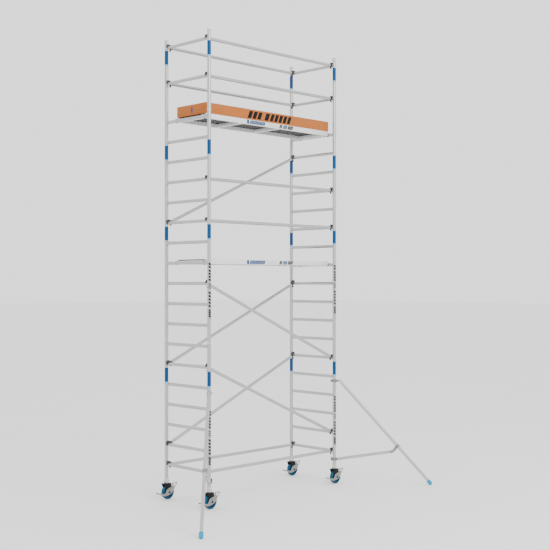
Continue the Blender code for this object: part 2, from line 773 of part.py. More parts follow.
for face, y_sign in FACES.items():
    for side, x_sign in SIDES.items():
        corner = f"{face}_{side}"
        place = (x_sign * HALF_LENGTH, y_sign * HALF_WIDTH, 0)
        swivel = add_axis(f"castor_axis_{corner}", place)
        add_part(f"castor_leg_{corner}", leg_mesh, ZINC, parent=swivel)
        add_part(f"adjusting_nut_{corner}", nut_mesh, CAST_ALUMINIUM, parent=swivel)
        add_part(f"castor_fork_{corner}", fork_mesh, BLACK_STEEL, parent=swivel)
        axle = (CASTOR_TRAIL, 0, WHEEL_RADIUS)
        add_part(f"castor_wheel_{corner}", wheel_mesh, BLUE_TYRE, axle, parent=swivel)
        lever_place = (CASTOR_TRAIL, lever_y, WHEEL_RADIUS)
        add_part(f"brake_lever_{corner}", lever_mesh, ZINC, lever_place, parent=swivel)


# ---- Stabilisers --------------------------------------------------------------


def clamp_ring(height):
    """A split band round the stile, with ears for its bolt, centred on a height."""
    bore = clear_radius(STILE_RADIUS, TURN_GAP, STILE_SIDES)
    low = height - CLAMP_HEIGHT / 2
    high = height + CLAMP_HEIGHT / 2
    band = rod(CLAMP_RADIUS, (0, 0, low), (0, 0, high), STILE_SIDES)
    half = CLAMP_EAR_WIDTH / 2
    ear_low = (-CLAMP_EAR_REACH, -half, low + CLAMP_EAR_INSET)
    ears = block(ear_low, (-STILE_RADIUS, half, high - CLAMP_EAR_INSET))
    band = joined(band, ears)
    below = low - CLAMP_HEIGHT
    above = high + CLAMP_HEIGHT
    hole = rod(bore, (0, 0, below), (0, 0, above), STILE_SIDES)
    slot_low = (-2 * CLAMP_EAR_REACH, -CLAMP_SLOT / 2, below)
    return cut(band, hole, block(slot_low, (0, CLAMP_SLOT / 2, above)))


def rubber_foot(tilt):
    """A ball foot with a socket for the tube, its axis tilted from vertical."""
    socket = clear_radius(TUBE_RADIUS, TOUCH_GAP, STILE_SIDES)
    floor = FOOT_SOCKET_FLOOR
    rim = FOOT_LENGTH
    ball = arc((0, 0), FOOT_RADIUS, 0, -90, 4)
    ball[-1] = (0, -FOOT_RADIUS)
    profile = [(0, floor), (socket, floor), (socket, rim), (FOOT_RADIUS, rim)] + ball
    foot = turned(profile, STILE_SIDES)
    foot.transform(Matrix.Rotation(tilt, 4, "Y"))
    return foot


def stabiliser(side):
    """Clamps, tube, arm and foot of one stabiliser, drawn along +X from the stile."""
    reach = FOOT_REACH[side]
    pivot = Vector((STABILISER_PIVOT, 0, UPPER_CLAMP_Z))
    tilt = math.atan2(STABILISER_PIVOT - reach, UPPER_CLAMP_Z - FOOT_RADIUS)
    foot = rubber_foot(tilt)
    drop = -min(vertex.co.z for vertex in foot.vertices)
    ball = Vector((reach, 0, drop))
    run = (ball - pivot).normalized()

    clamp = clamp_ring(UPPER_CLAMP_Z)
    half = CLAMP_TONGUE / 2
    tall = CLAMP_HEIGHT / 2 - CLAMP_TONGUE_INSET
    low = (STILE_RADIUS, -half, UPPER_CLAMP_Z - tall)
    tongue = block(low, (STABILISER_PIVOT + TONGUE_END, half, UPPER_CLAMP_Z + tall))
    wide = TUBE_RADIUS + PIN_PROUD
    pin = rod(PIN_RADIUS, pivot - Vector((0, wide, 0)), pivot + Vector((0, wide, 0)), TUBE_SIDES)
    clamp = joined(clamp, cut(tongue, stile_core()), pin)

    top = pivot - run * TUBE_PAST_PIN
    bottom = ball - run * (FOOT_SOCKET_FLOOR + TUBE_END_GAP)
    tube = rod(TUBE_RADIUS, top, bottom, TUBE_SIDES)
    past = run * TUBE_WALL
    hollow = rod(TUBE_BORE, top - past, bottom + past, TUBE_SIDES)
    pin_hole_radius = clear_radius(PIN_RADIUS, TOUCH_GAP, TUBE_SIDES)
    side_step = Vector((0, 2 * TUBE_RADIUS, 0))
    pin_hole = rod(pin_hole_radius, pivot - side_step, pivot + side_step, TUBE_SIDES)
    slot_reach = STABILISER_PIVOT + TUBE_SLOT_DEPTH
    slot_low = (0, -half - SLOT_GAP, UPPER_CLAMP_Z - STABILISER_PIVOT)
    slot = block(slot_low, (slot_reach, half + SLOT_GAP, UPPER_CLAMP_Z + STABILISER_PIVOT))
    tube = cut(tube, hollow, pin_hole, slot)

    foot.transform(Matrix.Translation(ball))
    return clamp, tube, stabiliser_arm(pivot, run), foot


def stile_core():
    """The space of the stile, kept out of the tongues beside it."""
    bore = clear_radius(STILE_RADIUS, TURN_GAP, STILE_SIDES)
    return rod(bore, (0, 0, 0), (0, 0, 2 * UPPER_CLAMP_Z), STILE_SIDES)


def stabiliser_arm(pivot, run):
    """The lower clamp, arm and collar, which holds the tube out from the stile."""
    clamp = clamp_ring(LOWER_CLAMP_Z)
    distance = (ARM_COLLAR_REACH - pivot.x) / run.x
    collar_centre = pivot + run * distance
    step = run * (ARM_COLLAR_LENGTH / 2)
    collar = rod(ARM_COLLAR_RADIUS, collar_centre - step, collar_centre + step, STILE_SIDES)
    start = Vector((STILE_RADIUS + ARM_ROOT_GAP, 0, LOWER_CLAMP_Z))
    end = Vector((ARM_END_REACH, 0, collar_centre.z - ARM_END_DROP))
    arm_run = (end - start).normalized()
    arm = rod(TUBE_RADIUS, start, end, TUBE_SIDES)
    root = end - arm_run * STRAP_ROOT
    lift = Vector((-arm_run.z, 0, arm_run.x)) * STRAP_HALF
    tip = end + arm_run * PIN_PROUD
    strap = plate(
        [
            (root.x - lift.x, root.z - lift.z),
            (tip.x - lift.x, tip.z - lift.z),
            (collar_centre.x, collar_centre.z - ARM_COLLAR_RADIUS),
            (collar_centre.x - ARM_COLLAR_RADIUS, collar_centre.z),
            (end.x + lift.x, end.z + lift.z),
            (root.x + lift.x, root.z + lift.z),
        ],
        CLAMP_TONGUE,
    )
    body = joined(cut(arm, stile_core()), clamp, strap, collar)
    bore = clear_radius(TUBE_RADIUS, TOUCH_GAP, STILE_SIDES)
    through = rod(bore, collar_centre - 2 * step, collar_centre + 2 * step, STILE_SIDES)
    hollow_start = start + arm_run * STRAP_ROOT
    hollow = rod(TUBE_BORE, hollow_start, root - arm_run * ARM_ROOT_GAP, TUBE_SIDES)
    drain_top = hollow_start + arm_run * STRAP_ROOT
    drain = rod(CLAW_CORE_RADIUS, drain_top, drain_top - Vector((0, 0, 2 * TUBE_RADIUS)), CORE_SIDES)
    return cut(body, through, joined(hollow, drain))


for side, sign in SIDES.items():
    place = (sign * HALF_LENGTH, -HALF_WIDTH, 0)
    swing = add_axis(f"stabiliser_axis_{side}", place, math.radians(STABILISER_HEADING[side]))
    clamp, tube, arm, foot = stabiliser(side)
    add_part(f"stabiliser_clamp_{side}", clamp, ZINC, parent=swing)
    add_part(f"stabiliser_tube_{side}", tube, ALUMINIUM, parent=swing)
    add_part(f"stabiliser_arm_{side}", arm, ALUMINIUM, parent=swing)
    add_part(f"stabiliser_foot_{side}", foot, BLUE_RUBBER, parent=swing)
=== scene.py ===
# %% [markdown]
# # Mobile tower scaffold
# An aluminium access tower is a kit: ladder frames stacked on spigots, braces and guard rails that clip
# over the rungs, two hanging platforms, toe boards, four adjustable castors and two stabilisers. The
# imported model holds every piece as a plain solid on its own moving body. This script gives each of
# them its finished shape and surface, at exactly the same place.

# %% Load the frame
import math

import bmesh
import bpy
from mathutils import Matrix, Vector


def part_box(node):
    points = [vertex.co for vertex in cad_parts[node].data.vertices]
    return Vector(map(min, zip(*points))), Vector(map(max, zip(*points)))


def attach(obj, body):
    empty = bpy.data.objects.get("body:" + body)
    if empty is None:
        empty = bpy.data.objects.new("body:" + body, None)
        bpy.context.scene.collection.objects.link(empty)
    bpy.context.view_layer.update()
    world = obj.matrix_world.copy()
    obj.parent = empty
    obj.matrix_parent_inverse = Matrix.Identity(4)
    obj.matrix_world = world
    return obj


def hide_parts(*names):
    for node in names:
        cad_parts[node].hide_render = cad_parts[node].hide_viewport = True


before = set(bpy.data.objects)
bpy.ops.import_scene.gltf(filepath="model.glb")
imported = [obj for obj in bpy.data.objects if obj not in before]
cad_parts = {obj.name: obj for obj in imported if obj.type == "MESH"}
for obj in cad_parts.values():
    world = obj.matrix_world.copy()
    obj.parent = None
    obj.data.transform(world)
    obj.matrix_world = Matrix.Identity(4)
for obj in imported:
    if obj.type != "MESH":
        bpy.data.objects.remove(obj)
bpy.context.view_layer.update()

# %% [markdown]
# ## Sizes
# Scaffold tube comes in fixed diameters, so a few numbers describe the whole tower. They could be read
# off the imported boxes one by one, but a maker thinks in rung pitch and tube size, and the box of a base
# frame is then a check on those.

# %% Sizes of the tower, in metres
HALF_LENGTH = 1.25
HALF_WIDTH = 0.45
PITCH = 0.28
FIRST_RUNG = 0.24
STILE = 0.0254
TUBE = 0.022225
WALL = 0.002
LEVELS = {"base": (0.25, 7), "mid": (2.21, 7), "upper": (4.17, 4)}
GUARD_LEVEL = 5.29
GUARD_PITCH = 0.50
GUARD_HEIGHT = 1.11
TOWER_TOP = 6.40
PLATFORM_RUNGS = {"lower": 11, "upper": 18}
SIDES = {"left": -1, "right": 1}
FACES = {"front": -1, "back": 1}


def rung_z(number):
    """The height of a rung's axis, counted from 1 at the bottom."""
    return 0.49 + (number - 1) * PITCH


low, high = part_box("base_frame_left")
print("base frame starts at", round(low.z, 3), "and its stile is", round(high.x - low.x, 4), "wide")

# %% [markdown]
# ## Helpers for plain mesh shapes
# Turned pieces are drawn as half a section and spun, flat pieces are drawn as an outline and given
# thickness. A curve with a fill makes the flat ones, because it cuts holes and rounds the edges in one
# step, where a Boolean and a Bevel modifier would take two.

# %% Mesh helpers
SAME_PLACE = 0.000005


def mesh_of(shape, name="shape"):
    mesh = bpy.data.meshes.new(name)
    shape.to_mesh(mesh)
    shape.free()
    return mesh


def moved(mesh, *steps):
    """A copy of a mesh carried through the given matrices, the last one first."""
    copy = mesh.copy()
    for step in reversed(steps):
        copy.transform(step)
    return copy


def shift(x, y, z):
    return Matrix.Translation((x, y, z))


def turn(degrees, axis):
    return Matrix.Rotation(math.radians(degrees), 4, axis)


def plain_mesh(thing):
    """The evaluated mesh of a temporary object, which is then removed."""
    bpy.context.scene.collection.objects.link(thing)
    depsgraph = bpy.context.evaluated_depsgraph_get()
    mesh = bpy.data.meshes.new_from_object(thing.evaluated_get(depsgraph))
    bpy.data.objects.remove(thing)
    return mesh


def cleaned(mesh, name):
    """A mesh with its doubled corners merged and its faces turned outwards."""
    shape = bmesh.new()
    shape.from_mesh(mesh)
    bmesh.ops.remove_doubles(shape, verts=shape.verts, dist=SAME_PLACE)
    bmesh.ops.recalc_face_normals(shape, faces=shape.faces)
    return mesh_of(shape, name)


def draw_line(drawing, places):
    spline = drawing.splines.new("POLY")
    spline.points.add(len(places) - 1)
    for point, place in zip(spline.points, places):
        point.co = (*place, 1)
    return spline


def painted(mesh, material):
    mesh.materials.clear()
    mesh.materials.append(material)
    return mesh


def lathe(material, section, steps=32):
    """A closed shape spun about Z from (radius, height) points."""
    shape = bmesh.new()
    rings = []
    for radius, height in section:
        if radius == 0:
            rings.append([shape.verts.new((0, 0, height))] * steps)
            continue
        ring = []
        for i in range(steps):
            angle = 2 * math.pi * i / steps
            ring.append(shape.verts.new((radius * math.cos(angle), radius * math.sin(angle), height)))
        rings.append(ring)
    closed = section[0][0] > 0
    pairs = list(zip(rings, rings[1:] + rings[:1] if closed else rings[1:]))
    for one, two in pairs:
        for i in range(steps):
            j = (i + 1) % steps
            corners = []
            for corner in (one[i], one[j], two[j], two[i]):
                if corner not in corners:
                    corners.append(corner)
            if len(corners) > 2:
                shape.faces.new(corners)
    bmesh.ops.recalc_face_normals(shape, faces=shape.faces)
    return painted(mesh_of(shape, "turned"), material)


def plate(material, outline, thickness, edge=0.0, holes=()):
    """A flat piece drawn in X and Z, with rounded edges, as thick as given along Y."""
    drawing = bpy.data.curves.new("outline", "CURVE")
    drawing.dimensions = "2D"
    drawing.fill_mode = "BOTH"
    drawing.extrude = thickness / 2 - edge
    drawing.bevel_depth = edge
    drawing.bevel_resolution = 1
    drawing.offset = -edge
    for points in (outline, *holes):
        draw_line(drawing, [(x, z, 0) for x, z in points]).use_cyclic_u = True
    mesh = cleaned(plain_mesh(bpy.data.objects.new("outline", drawing)), "plate")
    mesh.transform(turn(90, "X"))
    return painted(mesh, material)


def slab(material, low, high, edge=0.001):
    """A board or bar between two corners, with rounded edges."""
    low = Vector(low)
    high = Vector(high)
    shape = bmesh.new()
    scale = Matrix.Diagonal((*(high - low), 1.0))
    bmesh.ops.create_cube(shape, size=1.0, matrix=Matrix.Translation((low + high) / 2) @ scale)
    if edge:
        bmesh.ops.bevel(
            shape, geom=shape.edges[:], offset=edge, segments=2, affect="EDGES", profile=0.5)
    return painted(mesh_of(shape, "slab"), material)


def arc(centre, radius, start, end, steps):
    points = []
    for i in range(steps + 1):
        angle = math.radians(start + (end - start) * i / steps)
        points.append((centre[0] + radius * math.cos(angle), centre[1] + radius * math.sin(angle)))
    return points


def rounded(x0, z0, x1, z1, radius, steps=4):
    """A rectangle with round corners, for outlines and holes."""
    points = []
    corners = ((x1, z1, 0), (x0, z1, 90), (x0, z0, 180), (x1, z0, 270))
    for x, z, start in corners:
        centre = (x - math.copysign(radius, x - x0 - (x1 - x0) / 2),
                  z - math.copysign(radius, z - z0 - (z1 - z0) / 2))
        points += arc(centre, radius, start, start + 90, steps)
    return points


def wire(material, points, radius, sides=8):
    """A bent round bar through the given points, with capped ends."""
    line = bpy.data.curves.new("wire", "CURVE")
    line.dimensions = "3D"
    line.bevel_depth = radius
    line.bevel_resolution = sides // 2 - 2
    line.use_fill_caps = True
    draw_line(line, points)
    return painted(cleaned(plain_mesh(bpy.data.objects.new("wire", line)), "wire"), material)


def piece(name, body, nodes, slot, meshes, smooth=35):
    """Gathers meshes, each with its own finish, into one piece that stands for CAD nodes."""
    surfaces = []
    shape = bmesh.new()
    for mesh in meshes:
        first = len(shape.faces)
        shape.from_mesh(mesh)
        shape.faces.ensure_lookup_table()
        slots = []
        for material in mesh.materials:
            if material not in surfaces:
                surfaces.append(material)
            slots.append(surfaces.index(material))
        for face in shape.faces[first:]:
            face.material_index = slots[min(face.material_index, len(slots) - 1)]
    whole = mesh_of(shape, name)
    for material in surfaces:
        whole.materials.append(material)
    whole.shade_smooth()
    whole.set_sharp_from_angle(angle=math.radians(smooth))
    thing = bpy.data.objects.new(name, whole)
    bpy.context.scene.collection.objects.link(thing)
    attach(thing, body)
    if nodes:
        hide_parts(*nodes)
    return thing


# %% [markdown]
# ## Helpers for node trees
# A tree that grows geometry is made once and then given different sizes. Each input has a name, and a
# value is handed over by the socket's identifier before the tree is first evaluated.

# %% Node tree helpers
SOCKETS = {float: "NodeSocketFloat", int: "NodeSocketInt"}


def new_tree(name, sizes):
    """An empty tree with named inputs; gives the tree and a function that adds nodes to it."""
    tree = bpy.data.node_groups.new(name, "GeometryNodeTree")
    tree.interface.new_socket("Geometry", in_out="INPUT", socket_type="NodeSocketGeometry")
    for label, value in sizes.items():
        kind = "NodeSocketMaterial" if value is None else SOCKETS[type(value)]
        socket = tree.interface.new_socket(label, in_out="INPUT", socket_type=kind)
        if value is not None:
            socket.default_value = value
    tree.interface.new_socket("Geometry", in_out="OUTPUT", socket_type="NodeSocketGeometry")

    def add(kind, links=None, **settings):
        node = tree.nodes.new(kind)
        for key, value in settings.items():
            setattr(node, key, value)
        for key, value in (links or {}).items():
            socket = node.inputs[key]
            several = value if isinstance(value, list) else [value]
            for source in several:
                if isinstance(source, bpy.types.Node):
                    source = next(o for o in source.outputs if o.enabled)
                if isinstance(source, bpy.types.NodeSocket):
                    tree.links.new(source, socket)
                else:
                    socket.default_value = source
        return node

    return tree, add


def sums(add):
    """Short names for the sums a tree needs."""

    def calc(operation, one, two=0.0):
        return add("ShaderNodeMath", {0: one, 1: two}, operation=operation)

    def point(x, y, z):
        return add("ShaderNodeCombineXYZ", {0: x, 1: y, 2: z})

    return calc, point


def finished(add, geometry, material):
    """The end of a tree that has one finish: real geometry, then that finish."""
    real = add("GeometryNodeRealizeInstances", {"Geometry": geometry})
    coat = add("GeometryNodeSetMaterial", {"Geometry": real, "Material": material})
    add("NodeGroupOutput", {0: coat})


def grow(tree, values, base=None):
    """The plain mesh that a tree makes with these values."""
    thing = bpy.data.objects.new(tree.name, base or bpy.data.meshes.new(tree.name))
    modifier = thing.modifiers.new(tree.name, "NODES")
    modifier.node_group = tree
    for item in tree.interface.items_tree:
        if item.in_out == "INPUT" and item.name in values:
            modifier[item.identifier] = values[item.name]
    return plain_mesh(thing)


# %% [markdown]
# ## Finishes
# Drawn aluminium tube is satin, with faint streaks along its length from the die and cloudy handling
# marks. Castings are rougher and darker, zinc is mottled, polyurethane and rubber have a soft sheen. All of
# them could be flat colours, but a little noise in colour, roughness and height is what makes metal
# look like metal. One function makes them all: noise on Object coordinates, stretched where the
# surface has a direction.

# %% Finish helper
NOISE_LOW = 0.3
NOISE_HIGH = 0.7
NOISE_DETAIL = 3.0
METAL_SHEEN = 0.5
OTHER_SHEEN = 0.15


def finish(name, colour, other, rough, metallic, scale, stretch=(1, 1, 1), bump=0.0):
    """A surface whose colour and roughness drift between two values with noise."""
    material = bpy.data.materials.new(name)
    material.use_nodes = True
    nodes = material.node_tree.nodes
    links = material.node_tree.links
    shader = nodes["Principled BSDF"]
    shader.inputs["Metallic"].default_value = metallic
    shader.inputs["Specular IOR Level"].default_value = METAL_SHEEN if metallic else OTHER_SHEEN
    place = nodes.new("ShaderNodeTexCoord")
    mapping = nodes.new("ShaderNodeMapping")
    mapping.inputs["Scale"].default_value = stretch
    links.new(place.outputs["Object"], mapping.inputs["Vector"])
    noise = nodes.new("ShaderNodeTexNoise")
    noise.inputs["Scale"].default_value = scale
    noise.inputs["Detail"].default_value = NOISE_DETAIL
    links.new(mapping.outputs["Vector"], noise.inputs["Vector"])
    ramp = nodes.new("ShaderNodeValToRGB")
    ramp.color_ramp.elements[0].position = NOISE_LOW
    ramp.color_ramp.elements[1].position = NOISE_HIGH
    ramp.color_ramp.elements[0].color = (*colour, 1)
    ramp.color_ramp.elements[1].color = (*other, 1)
    links.new(noise.outputs["Fac"], ramp.inputs["Fac"])
    links.new(ramp.outputs["Color"], shader.inputs["Base Color"])
    spread = nodes.new("ShaderNodeMapRange")
    spread.inputs["From Min"].default_value = NOISE_LOW
    spread.inputs["From Max"].default_value = NOISE_HIGH
    spread.inputs["To Min"].default_value = rough[0]
    spread.inputs["To Max"].default_value = rough[1]
    links.new(noise.outputs["Fac"], spread.inputs["Value"])
    links.new(spread.outputs["Result"], shader.inputs["Roughness"])
    if bump:
        height = nodes.new("ShaderNodeBump")
        height.inputs["Strength"].default_value = 0.4
        height.inputs["Distance"].default_value = bump
        links.new(noise.outputs["Fac"], height.inputs["Height"])
        links.new(height.outputs["Normal"], shader.inputs["Normal"])
    material.diffuse_color = (*colour, 1)
    return material


# %% The finishes of this tower
ALONG_X = (0.03, 1, 1)
ALONG_Y = (1, 0.03, 1)
ALONG_Z = (1, 1, 0.03)
TUBE_GREY = (0.40, 0.40, 0.405), (0.49, 0.49, 0.495), (0.30, 0.40), 0.75, 260.0


def drawn_tube(name, along):
    return finish(name, *TUBE_GREY, stretch=along, bump=0.00006)


STILE_METAL = drawn_tube("drawn_aluminium_stile", ALONG_Z)
RUNG_METAL = drawn_tube("drawn_aluminium_rung", ALONG_Y)
BRACE_METAL = drawn_tube("drawn_aluminium_brace", ALONG_X)
BEAM_METAL = finish(
    "extruded_beam", (0.72, 0.72, 0.72), (0.80, 0.80, 0.80), (0.34, 0.44), 0.35, 180.0, ALONG_X, 0.00005
)
WELD = finish("weld_bead", (0.52, 0.52, 0.52), (0.66, 0.66, 0.66), (0.32, 0.5), 0.7, 300.0, bump=0.0004)
CASTING = finish(
    "light_casting", (0.50, 0.50, 0.50), (0.60, 0.60, 0.59), (0.45, 0.6), 0.5, 220.0, bump=0.0003
)
DARK_CASTING = finish(
    "dark_claw_casting", (0.030, 0.031, 0.032), (0.055, 0.056, 0.058), (0.42, 0.58), 0.3, 240.0, bump=0.0003
)
LATCH_BLACK = finish(
    "latch_black", (0.004, 0.004, 0.0045), (0.009, 0.009, 0.0095), (0.4, 0.55), 0.0, 200.0
)
ZINC = finish(
    "zinc_plate", (0.26, 0.265, 0.27), (0.36, 0.365, 0.37), (0.28, 0.42), 0.75, 90.0, bump=0.00008
)
LEVER_STEEL = finish(
    "brake_lever_steel", (0.20, 0.205, 0.20), (0.29, 0.29, 0.28), (0.30, 0.44), 0.6, 90.0, bump=0.00008
)
COUPLER = finish(
    "coupler_steel", (0.17, 0.175, 0.18), (0.25, 0.255, 0.26), (0.34, 0.5), 0.6, 120.0, bump=0.0002
)
POWDER_BLACK = finish(
    "black_powder_coat", (0.004, 0.0045, 0.005), (0.008, 0.0085, 0.009), (0.34, 0.48), 0.0, 500.0, bump=0.0001
)
TYRE_BLUE = finish(
    "blue_tyre", (0.004, 0.050, 0.095), (0.007, 0.078, 0.14), (0.16, 0.26), 0.0, 60.0, bump=0.00008
)
HUB_BLUE = finish(
    "blue_wheel_core", (0.005, 0.042, 0.085), (0.009, 0.058, 0.11), (0.3, 0.42), 0.0, 90.0, bump=0.0001
)
FOOT_BLUE = finish(
    "blue_foot_rubber", (0.003, 0.24, 0.42), (0.006, 0.29, 0.48), (0.42, 0.58), 0.0, 140.0, bump=0.0002
)
LABEL_BLUE = finish("label_blue", (0.002, 0.048, 0.15), (0.003, 0.058, 0.18), (0.32, 0.42), 0.0, 70.0)
LABEL_PALE = finish("label_pale", (0.20, 0.40, 0.56), (0.26, 0.46, 0.62), (0.32, 0.42), 0.0, 70.0)
LABEL_GREEN = finish("label_green", (0.50, 0.68, 0.55), (0.58, 0.74, 0.62), (0.32, 0.42), 0.0, 70.0)
MARK_BLACK = finish("mark_black", (0.002, 0.002, 0.002), (0.005, 0.005, 0.005), (0.36, 0.5), 0.0, 160.0)
CAP_GREY = finish(
    "end_cap_plastic", (0.42, 0.43, 0.44), (0.48, 0.49, 0.5), (0.45, 0.6), 0.0, 160.0, bump=0.0001
)
print("finishes:", len(bpy.data.materials))

# %% [markdown]
# ## Plywood
# The decks are film-faced birch ply with a pressed anti-slip grid, nearly black brown. The toe boards are
# the same ply with an orange brown film, through which the long grain shows faintly. The grid is two
# crossed waves in the height, which costs nothing in geometry, and the grain is noise stretched along
# the board.

# %% Plywood finishes
GRID_SCALE = 42.0
GRID_STRENGTH = 0.7
GRID_DEPTH = 0.0006
DECK_PLY = finish("deck_ply", (0.008, 0.005, 0.004), (0.014, 0.009, 0.007), (0.42, 0.6), 0.0, 35.0)
TOE_PLY = finish("toe_board_ply", (0.36, 0.105, 0.020), (0.43, 0.135, 0.030), (0.4, 0.55), 0.0, 55.0,
                 (0.06, 0.06, 1.4), 0.0001)
TOE_PLY_EDGE = finish("toe_board_edge", (0.36, 0.15, 0.05), (0.47, 0.21, 0.08), (0.5, 0.65), 0.0, 120.0,
                      (0.1, 0.1, 8.0), 0.0002)


def anti_slip(material):
    """Adds a pressed diamond grid to the height of a finish."""
    nodes = material.node_tree.nodes
    links = material.node_tree.links
    place = nodes.new("ShaderNodeTexCoord")
    heights = []
    for angle in (45, -45):
        mapping = nodes.new("ShaderNodeMapping")
        mapping.inputs["Rotation"].default_value = (0, 0, math.radians(angle))
        links.new(place.outputs["Object"], mapping.inputs["Vector"])
        wave = nodes.new("ShaderNodeTexWave")
        wave.inputs["Scale"].default_value = GRID_SCALE
        links.new(mapping.outputs["Vector"], wave.inputs["Vector"])
        heights.append(wave)
    both = nodes.new("ShaderNodeMath")
    both.operation = "MAXIMUM"
    links.new(heights[0].outputs["Fac"], both.inputs[0])
    links.new(heights[1].outputs["Fac"], both.inputs[1])
    bump = nodes.new("ShaderNodeBump")
    bump.inputs["Strength"].default_value = GRID_STRENGTH
    bump.inputs["Distance"].default_value = GRID_DEPTH
    links.new(both.outputs["Value"], bump.inputs["Height"])
    links.new(bump.outputs["Normal"], nodes["Principled BSDF"].inputs["Normal"])


anti_slip(DECK_PLY)
print("plywood finishes ready")

# %% [markdown]
# ## Ladder frames
# Each frame is two stiles with rungs welded between them at an even pitch. That is a rule, so one node
# tree makes every size of frame. A tube with a real wall is a thin rectangle swept round a
# circle. The weld bead follows the saddle line where the rung meets the round stile, and its
# ripple comes from the spline's own length.

# %% The tube, as a few nodes


def ring_tube(add, radius, wall, length, sides):
    """Nodes for a tube along Z, centred on the origin, with a real wall."""
    calc = sums(add)[0]
    middle = calc("SUBTRACT", radius, calc("MULTIPLY", wall, 0.5))
    ring = add("GeometryNodeCurvePrimitiveCircle", {"Resolution": sides, "Radius": middle})
    wall_section = add("GeometryNodeCurvePrimitiveQuadrilateral", {"Width": wall, "Height": length})
    return add("GeometryNodeCurveToMesh", {"Curve": ring, "Profile Curve": wall_section})


# %% The ladder frame tree
ladder, add = new_tree("ladder_frame", {
    "Rungs": 7, "First": FIRST_RUNG, "Pitch": PITCH, "Height": 1.96, "Half Width": HALF_WIDTH,
    "Stile": STILE, "Rung": TUBE, "Wall": WALL, "Bead": 0.0034,
    "Stile Metal": None, "Rung Metal": None, "Weld": None,
})
calc, point = sums(add)
given = add("NodeGroupInput").outputs
stile = ring_tube(add, given["Stile"], given["Wall"], given["Height"], 40)
half_height = calc("MULTIPLY", given["Height"], 0.5)
stiles = []
for side in (-1, 1):
    y = calc("MULTIPLY", given["Half Width"], float(side))
    stiles.append(add("GeometryNodeTransform", {
        "Geometry": stile, "Translation": point(0.0, y, half_height)}))
stiles = add("GeometryNodeSetMaterial", {
    "Geometry": add("GeometryNodeJoinGeometry", {"Geometry": stiles}), "Material": given["Stile Metal"]})
rung_end = calc("SUBTRACT", given["Half Width"], calc("MULTIPLY", given["Stile"], 0.9))
rung_length = calc("MULTIPLY", rung_end, 2.0)
rung = ring_tube(add, given["Rung"], given["Wall"], rung_length, 32)
rung = add("GeometryNodeTransform", {"Geometry": rung, "Rotation": (math.pi / 2, 0, 0)})
rung = add("GeometryNodeSetMaterial", {"Geometry": rung, "Material": given["Rung Metal"]})
circle = add("GeometryNodeCurvePrimitiveCircle", {
    "Resolution": 96, "Radius": calc("ADD", given["Rung"], calc("MULTIPLY", given["Bead"], 0.3))})
spot = add("ShaderNodeSeparateXYZ", {0: add("GeometryNodeInputPosition")})
square = calc("SUBTRACT", calc("POWER", given["Stile"], 2.0), calc("POWER", spot.outputs["X"], 2.0))
depth = calc("SUBTRACT", given["Half Width"], calc("SQRT", calc("MAXIMUM", square, 0.0)))
saddle = add("GeometryNodeSetPosition", {
    "Geometry": circle, "Position": point(spot.outputs["X"], depth, spot.outputs["Y"])})
RIPPLES = 24
wave = calc("SINE", calc("MULTIPLY", add("GeometryNodeSplineParameter"), 2 * math.pi * RIPPLES))
ripple = calc("ADD", 1.0, calc("MULTIPLY", wave, 0.14))
bead_section = add("GeometryNodeCurvePrimitiveCircle", {"Resolution": 8, "Radius": given["Bead"]})
bead = add("GeometryNodeCurveToMesh", {"Curve": saddle, "Profile Curve": bead_section, "Scale": ripple})
other_bead = add("GeometryNodeTransform", {"Geometry": bead, "Rotation": (0, 0, math.pi)})
beads = add("GeometryNodeSetMaterial", {
    "Geometry": add("GeometryNodeJoinGeometry", {"Geometry": [bead, other_bead]}), "Material": given["Weld"]})
steps = add("GeometryNodeMeshLine", {
    "Count": given["Rungs"], "Start Location": point(0.0, 0.0, given["First"]),
    "Offset": point(0.0, 0.0, given["Pitch"])})
rungs = add("GeometryNodeInstanceOnPoints", {
    "Points": steps, "Instance": add("GeometryNodeJoinGeometry", {"Geometry": [rung, beads]})})
real = add("GeometryNodeRealizeInstances", {
    "Geometry": add("GeometryNodeJoinGeometry", {"Geometry": [stiles, rungs]})})
add("NodeGroupOutput", {0: real})


def ladder_mesh(rungs, first, pitch, height):
    return grow(ladder, {
        "Rungs": rungs, "First": first, "Pitch": pitch, "Height": height,
        "Stile Metal": STILE_METAL, "Rung Metal": RUNG_METAL, "Weld": WELD})


JOINT_GAP = 0.0003
tall_ladder = ladder_mesh(7, FIRST_RUNG, PITCH, 7 * PITCH - JOINT_GAP)
short_ladder = ladder_mesh(4, FIRST_RUNG, PITCH, 4 * PITCH - JOINT_GAP)
guard_ladder = ladder_mesh(2, GUARD_PITCH, GUARD_PITCH, GUARD_HEIGHT)
print("faces in a tall frame:", len(tall_ladder.polygons))

# %% [markdown]
# ## Slanted marks
# The front stiles, the front toe board and the platform beams carry printed marks. Here they are plain
# slanted bars, set out along a line at an even pitch. On a stile each bar also has to lie round
# the tube, so the tree bends it: distance across becomes an angle. On a flat face the bend is so wide
# that it can't be seen.

# %% The bar tree
NO_BEND = 5.0
bars, add = new_tree("slanted_bars", {
    "Count": 5, "Pitch": 0.04, "Across": 0.03, "Tall": 0.02, "Slant": 0.4, "Radius": STILE, "Ink": None})
calc, point = sums(add)
given = add("NodeGroupInput").outputs
chip = add("GeometryNodeMeshCube", {
    "Size": point(given["Across"], 0.0003, given["Tall"]),
    "Vertices X": 9, "Vertices Y": 2, "Vertices Z": 2})
line = add("GeometryNodeMeshLine", {"Count": given["Count"], "Offset": point(0.0, 0.0, given["Pitch"])})
row = add("GeometryNodeInstanceOnPoints", {"Points": line, "Instance": chip})
row = add("GeometryNodeRealizeInstances", {"Geometry": row})
spot = add("ShaderNodeSeparateXYZ", {0: add("GeometryNodeInputPosition")}).outputs
leaned = calc("ADD", spot["Z"], calc("MULTIPLY", spot["X"], given["Slant"]))
angle = calc("DIVIDE", spot["X"], given["Radius"])
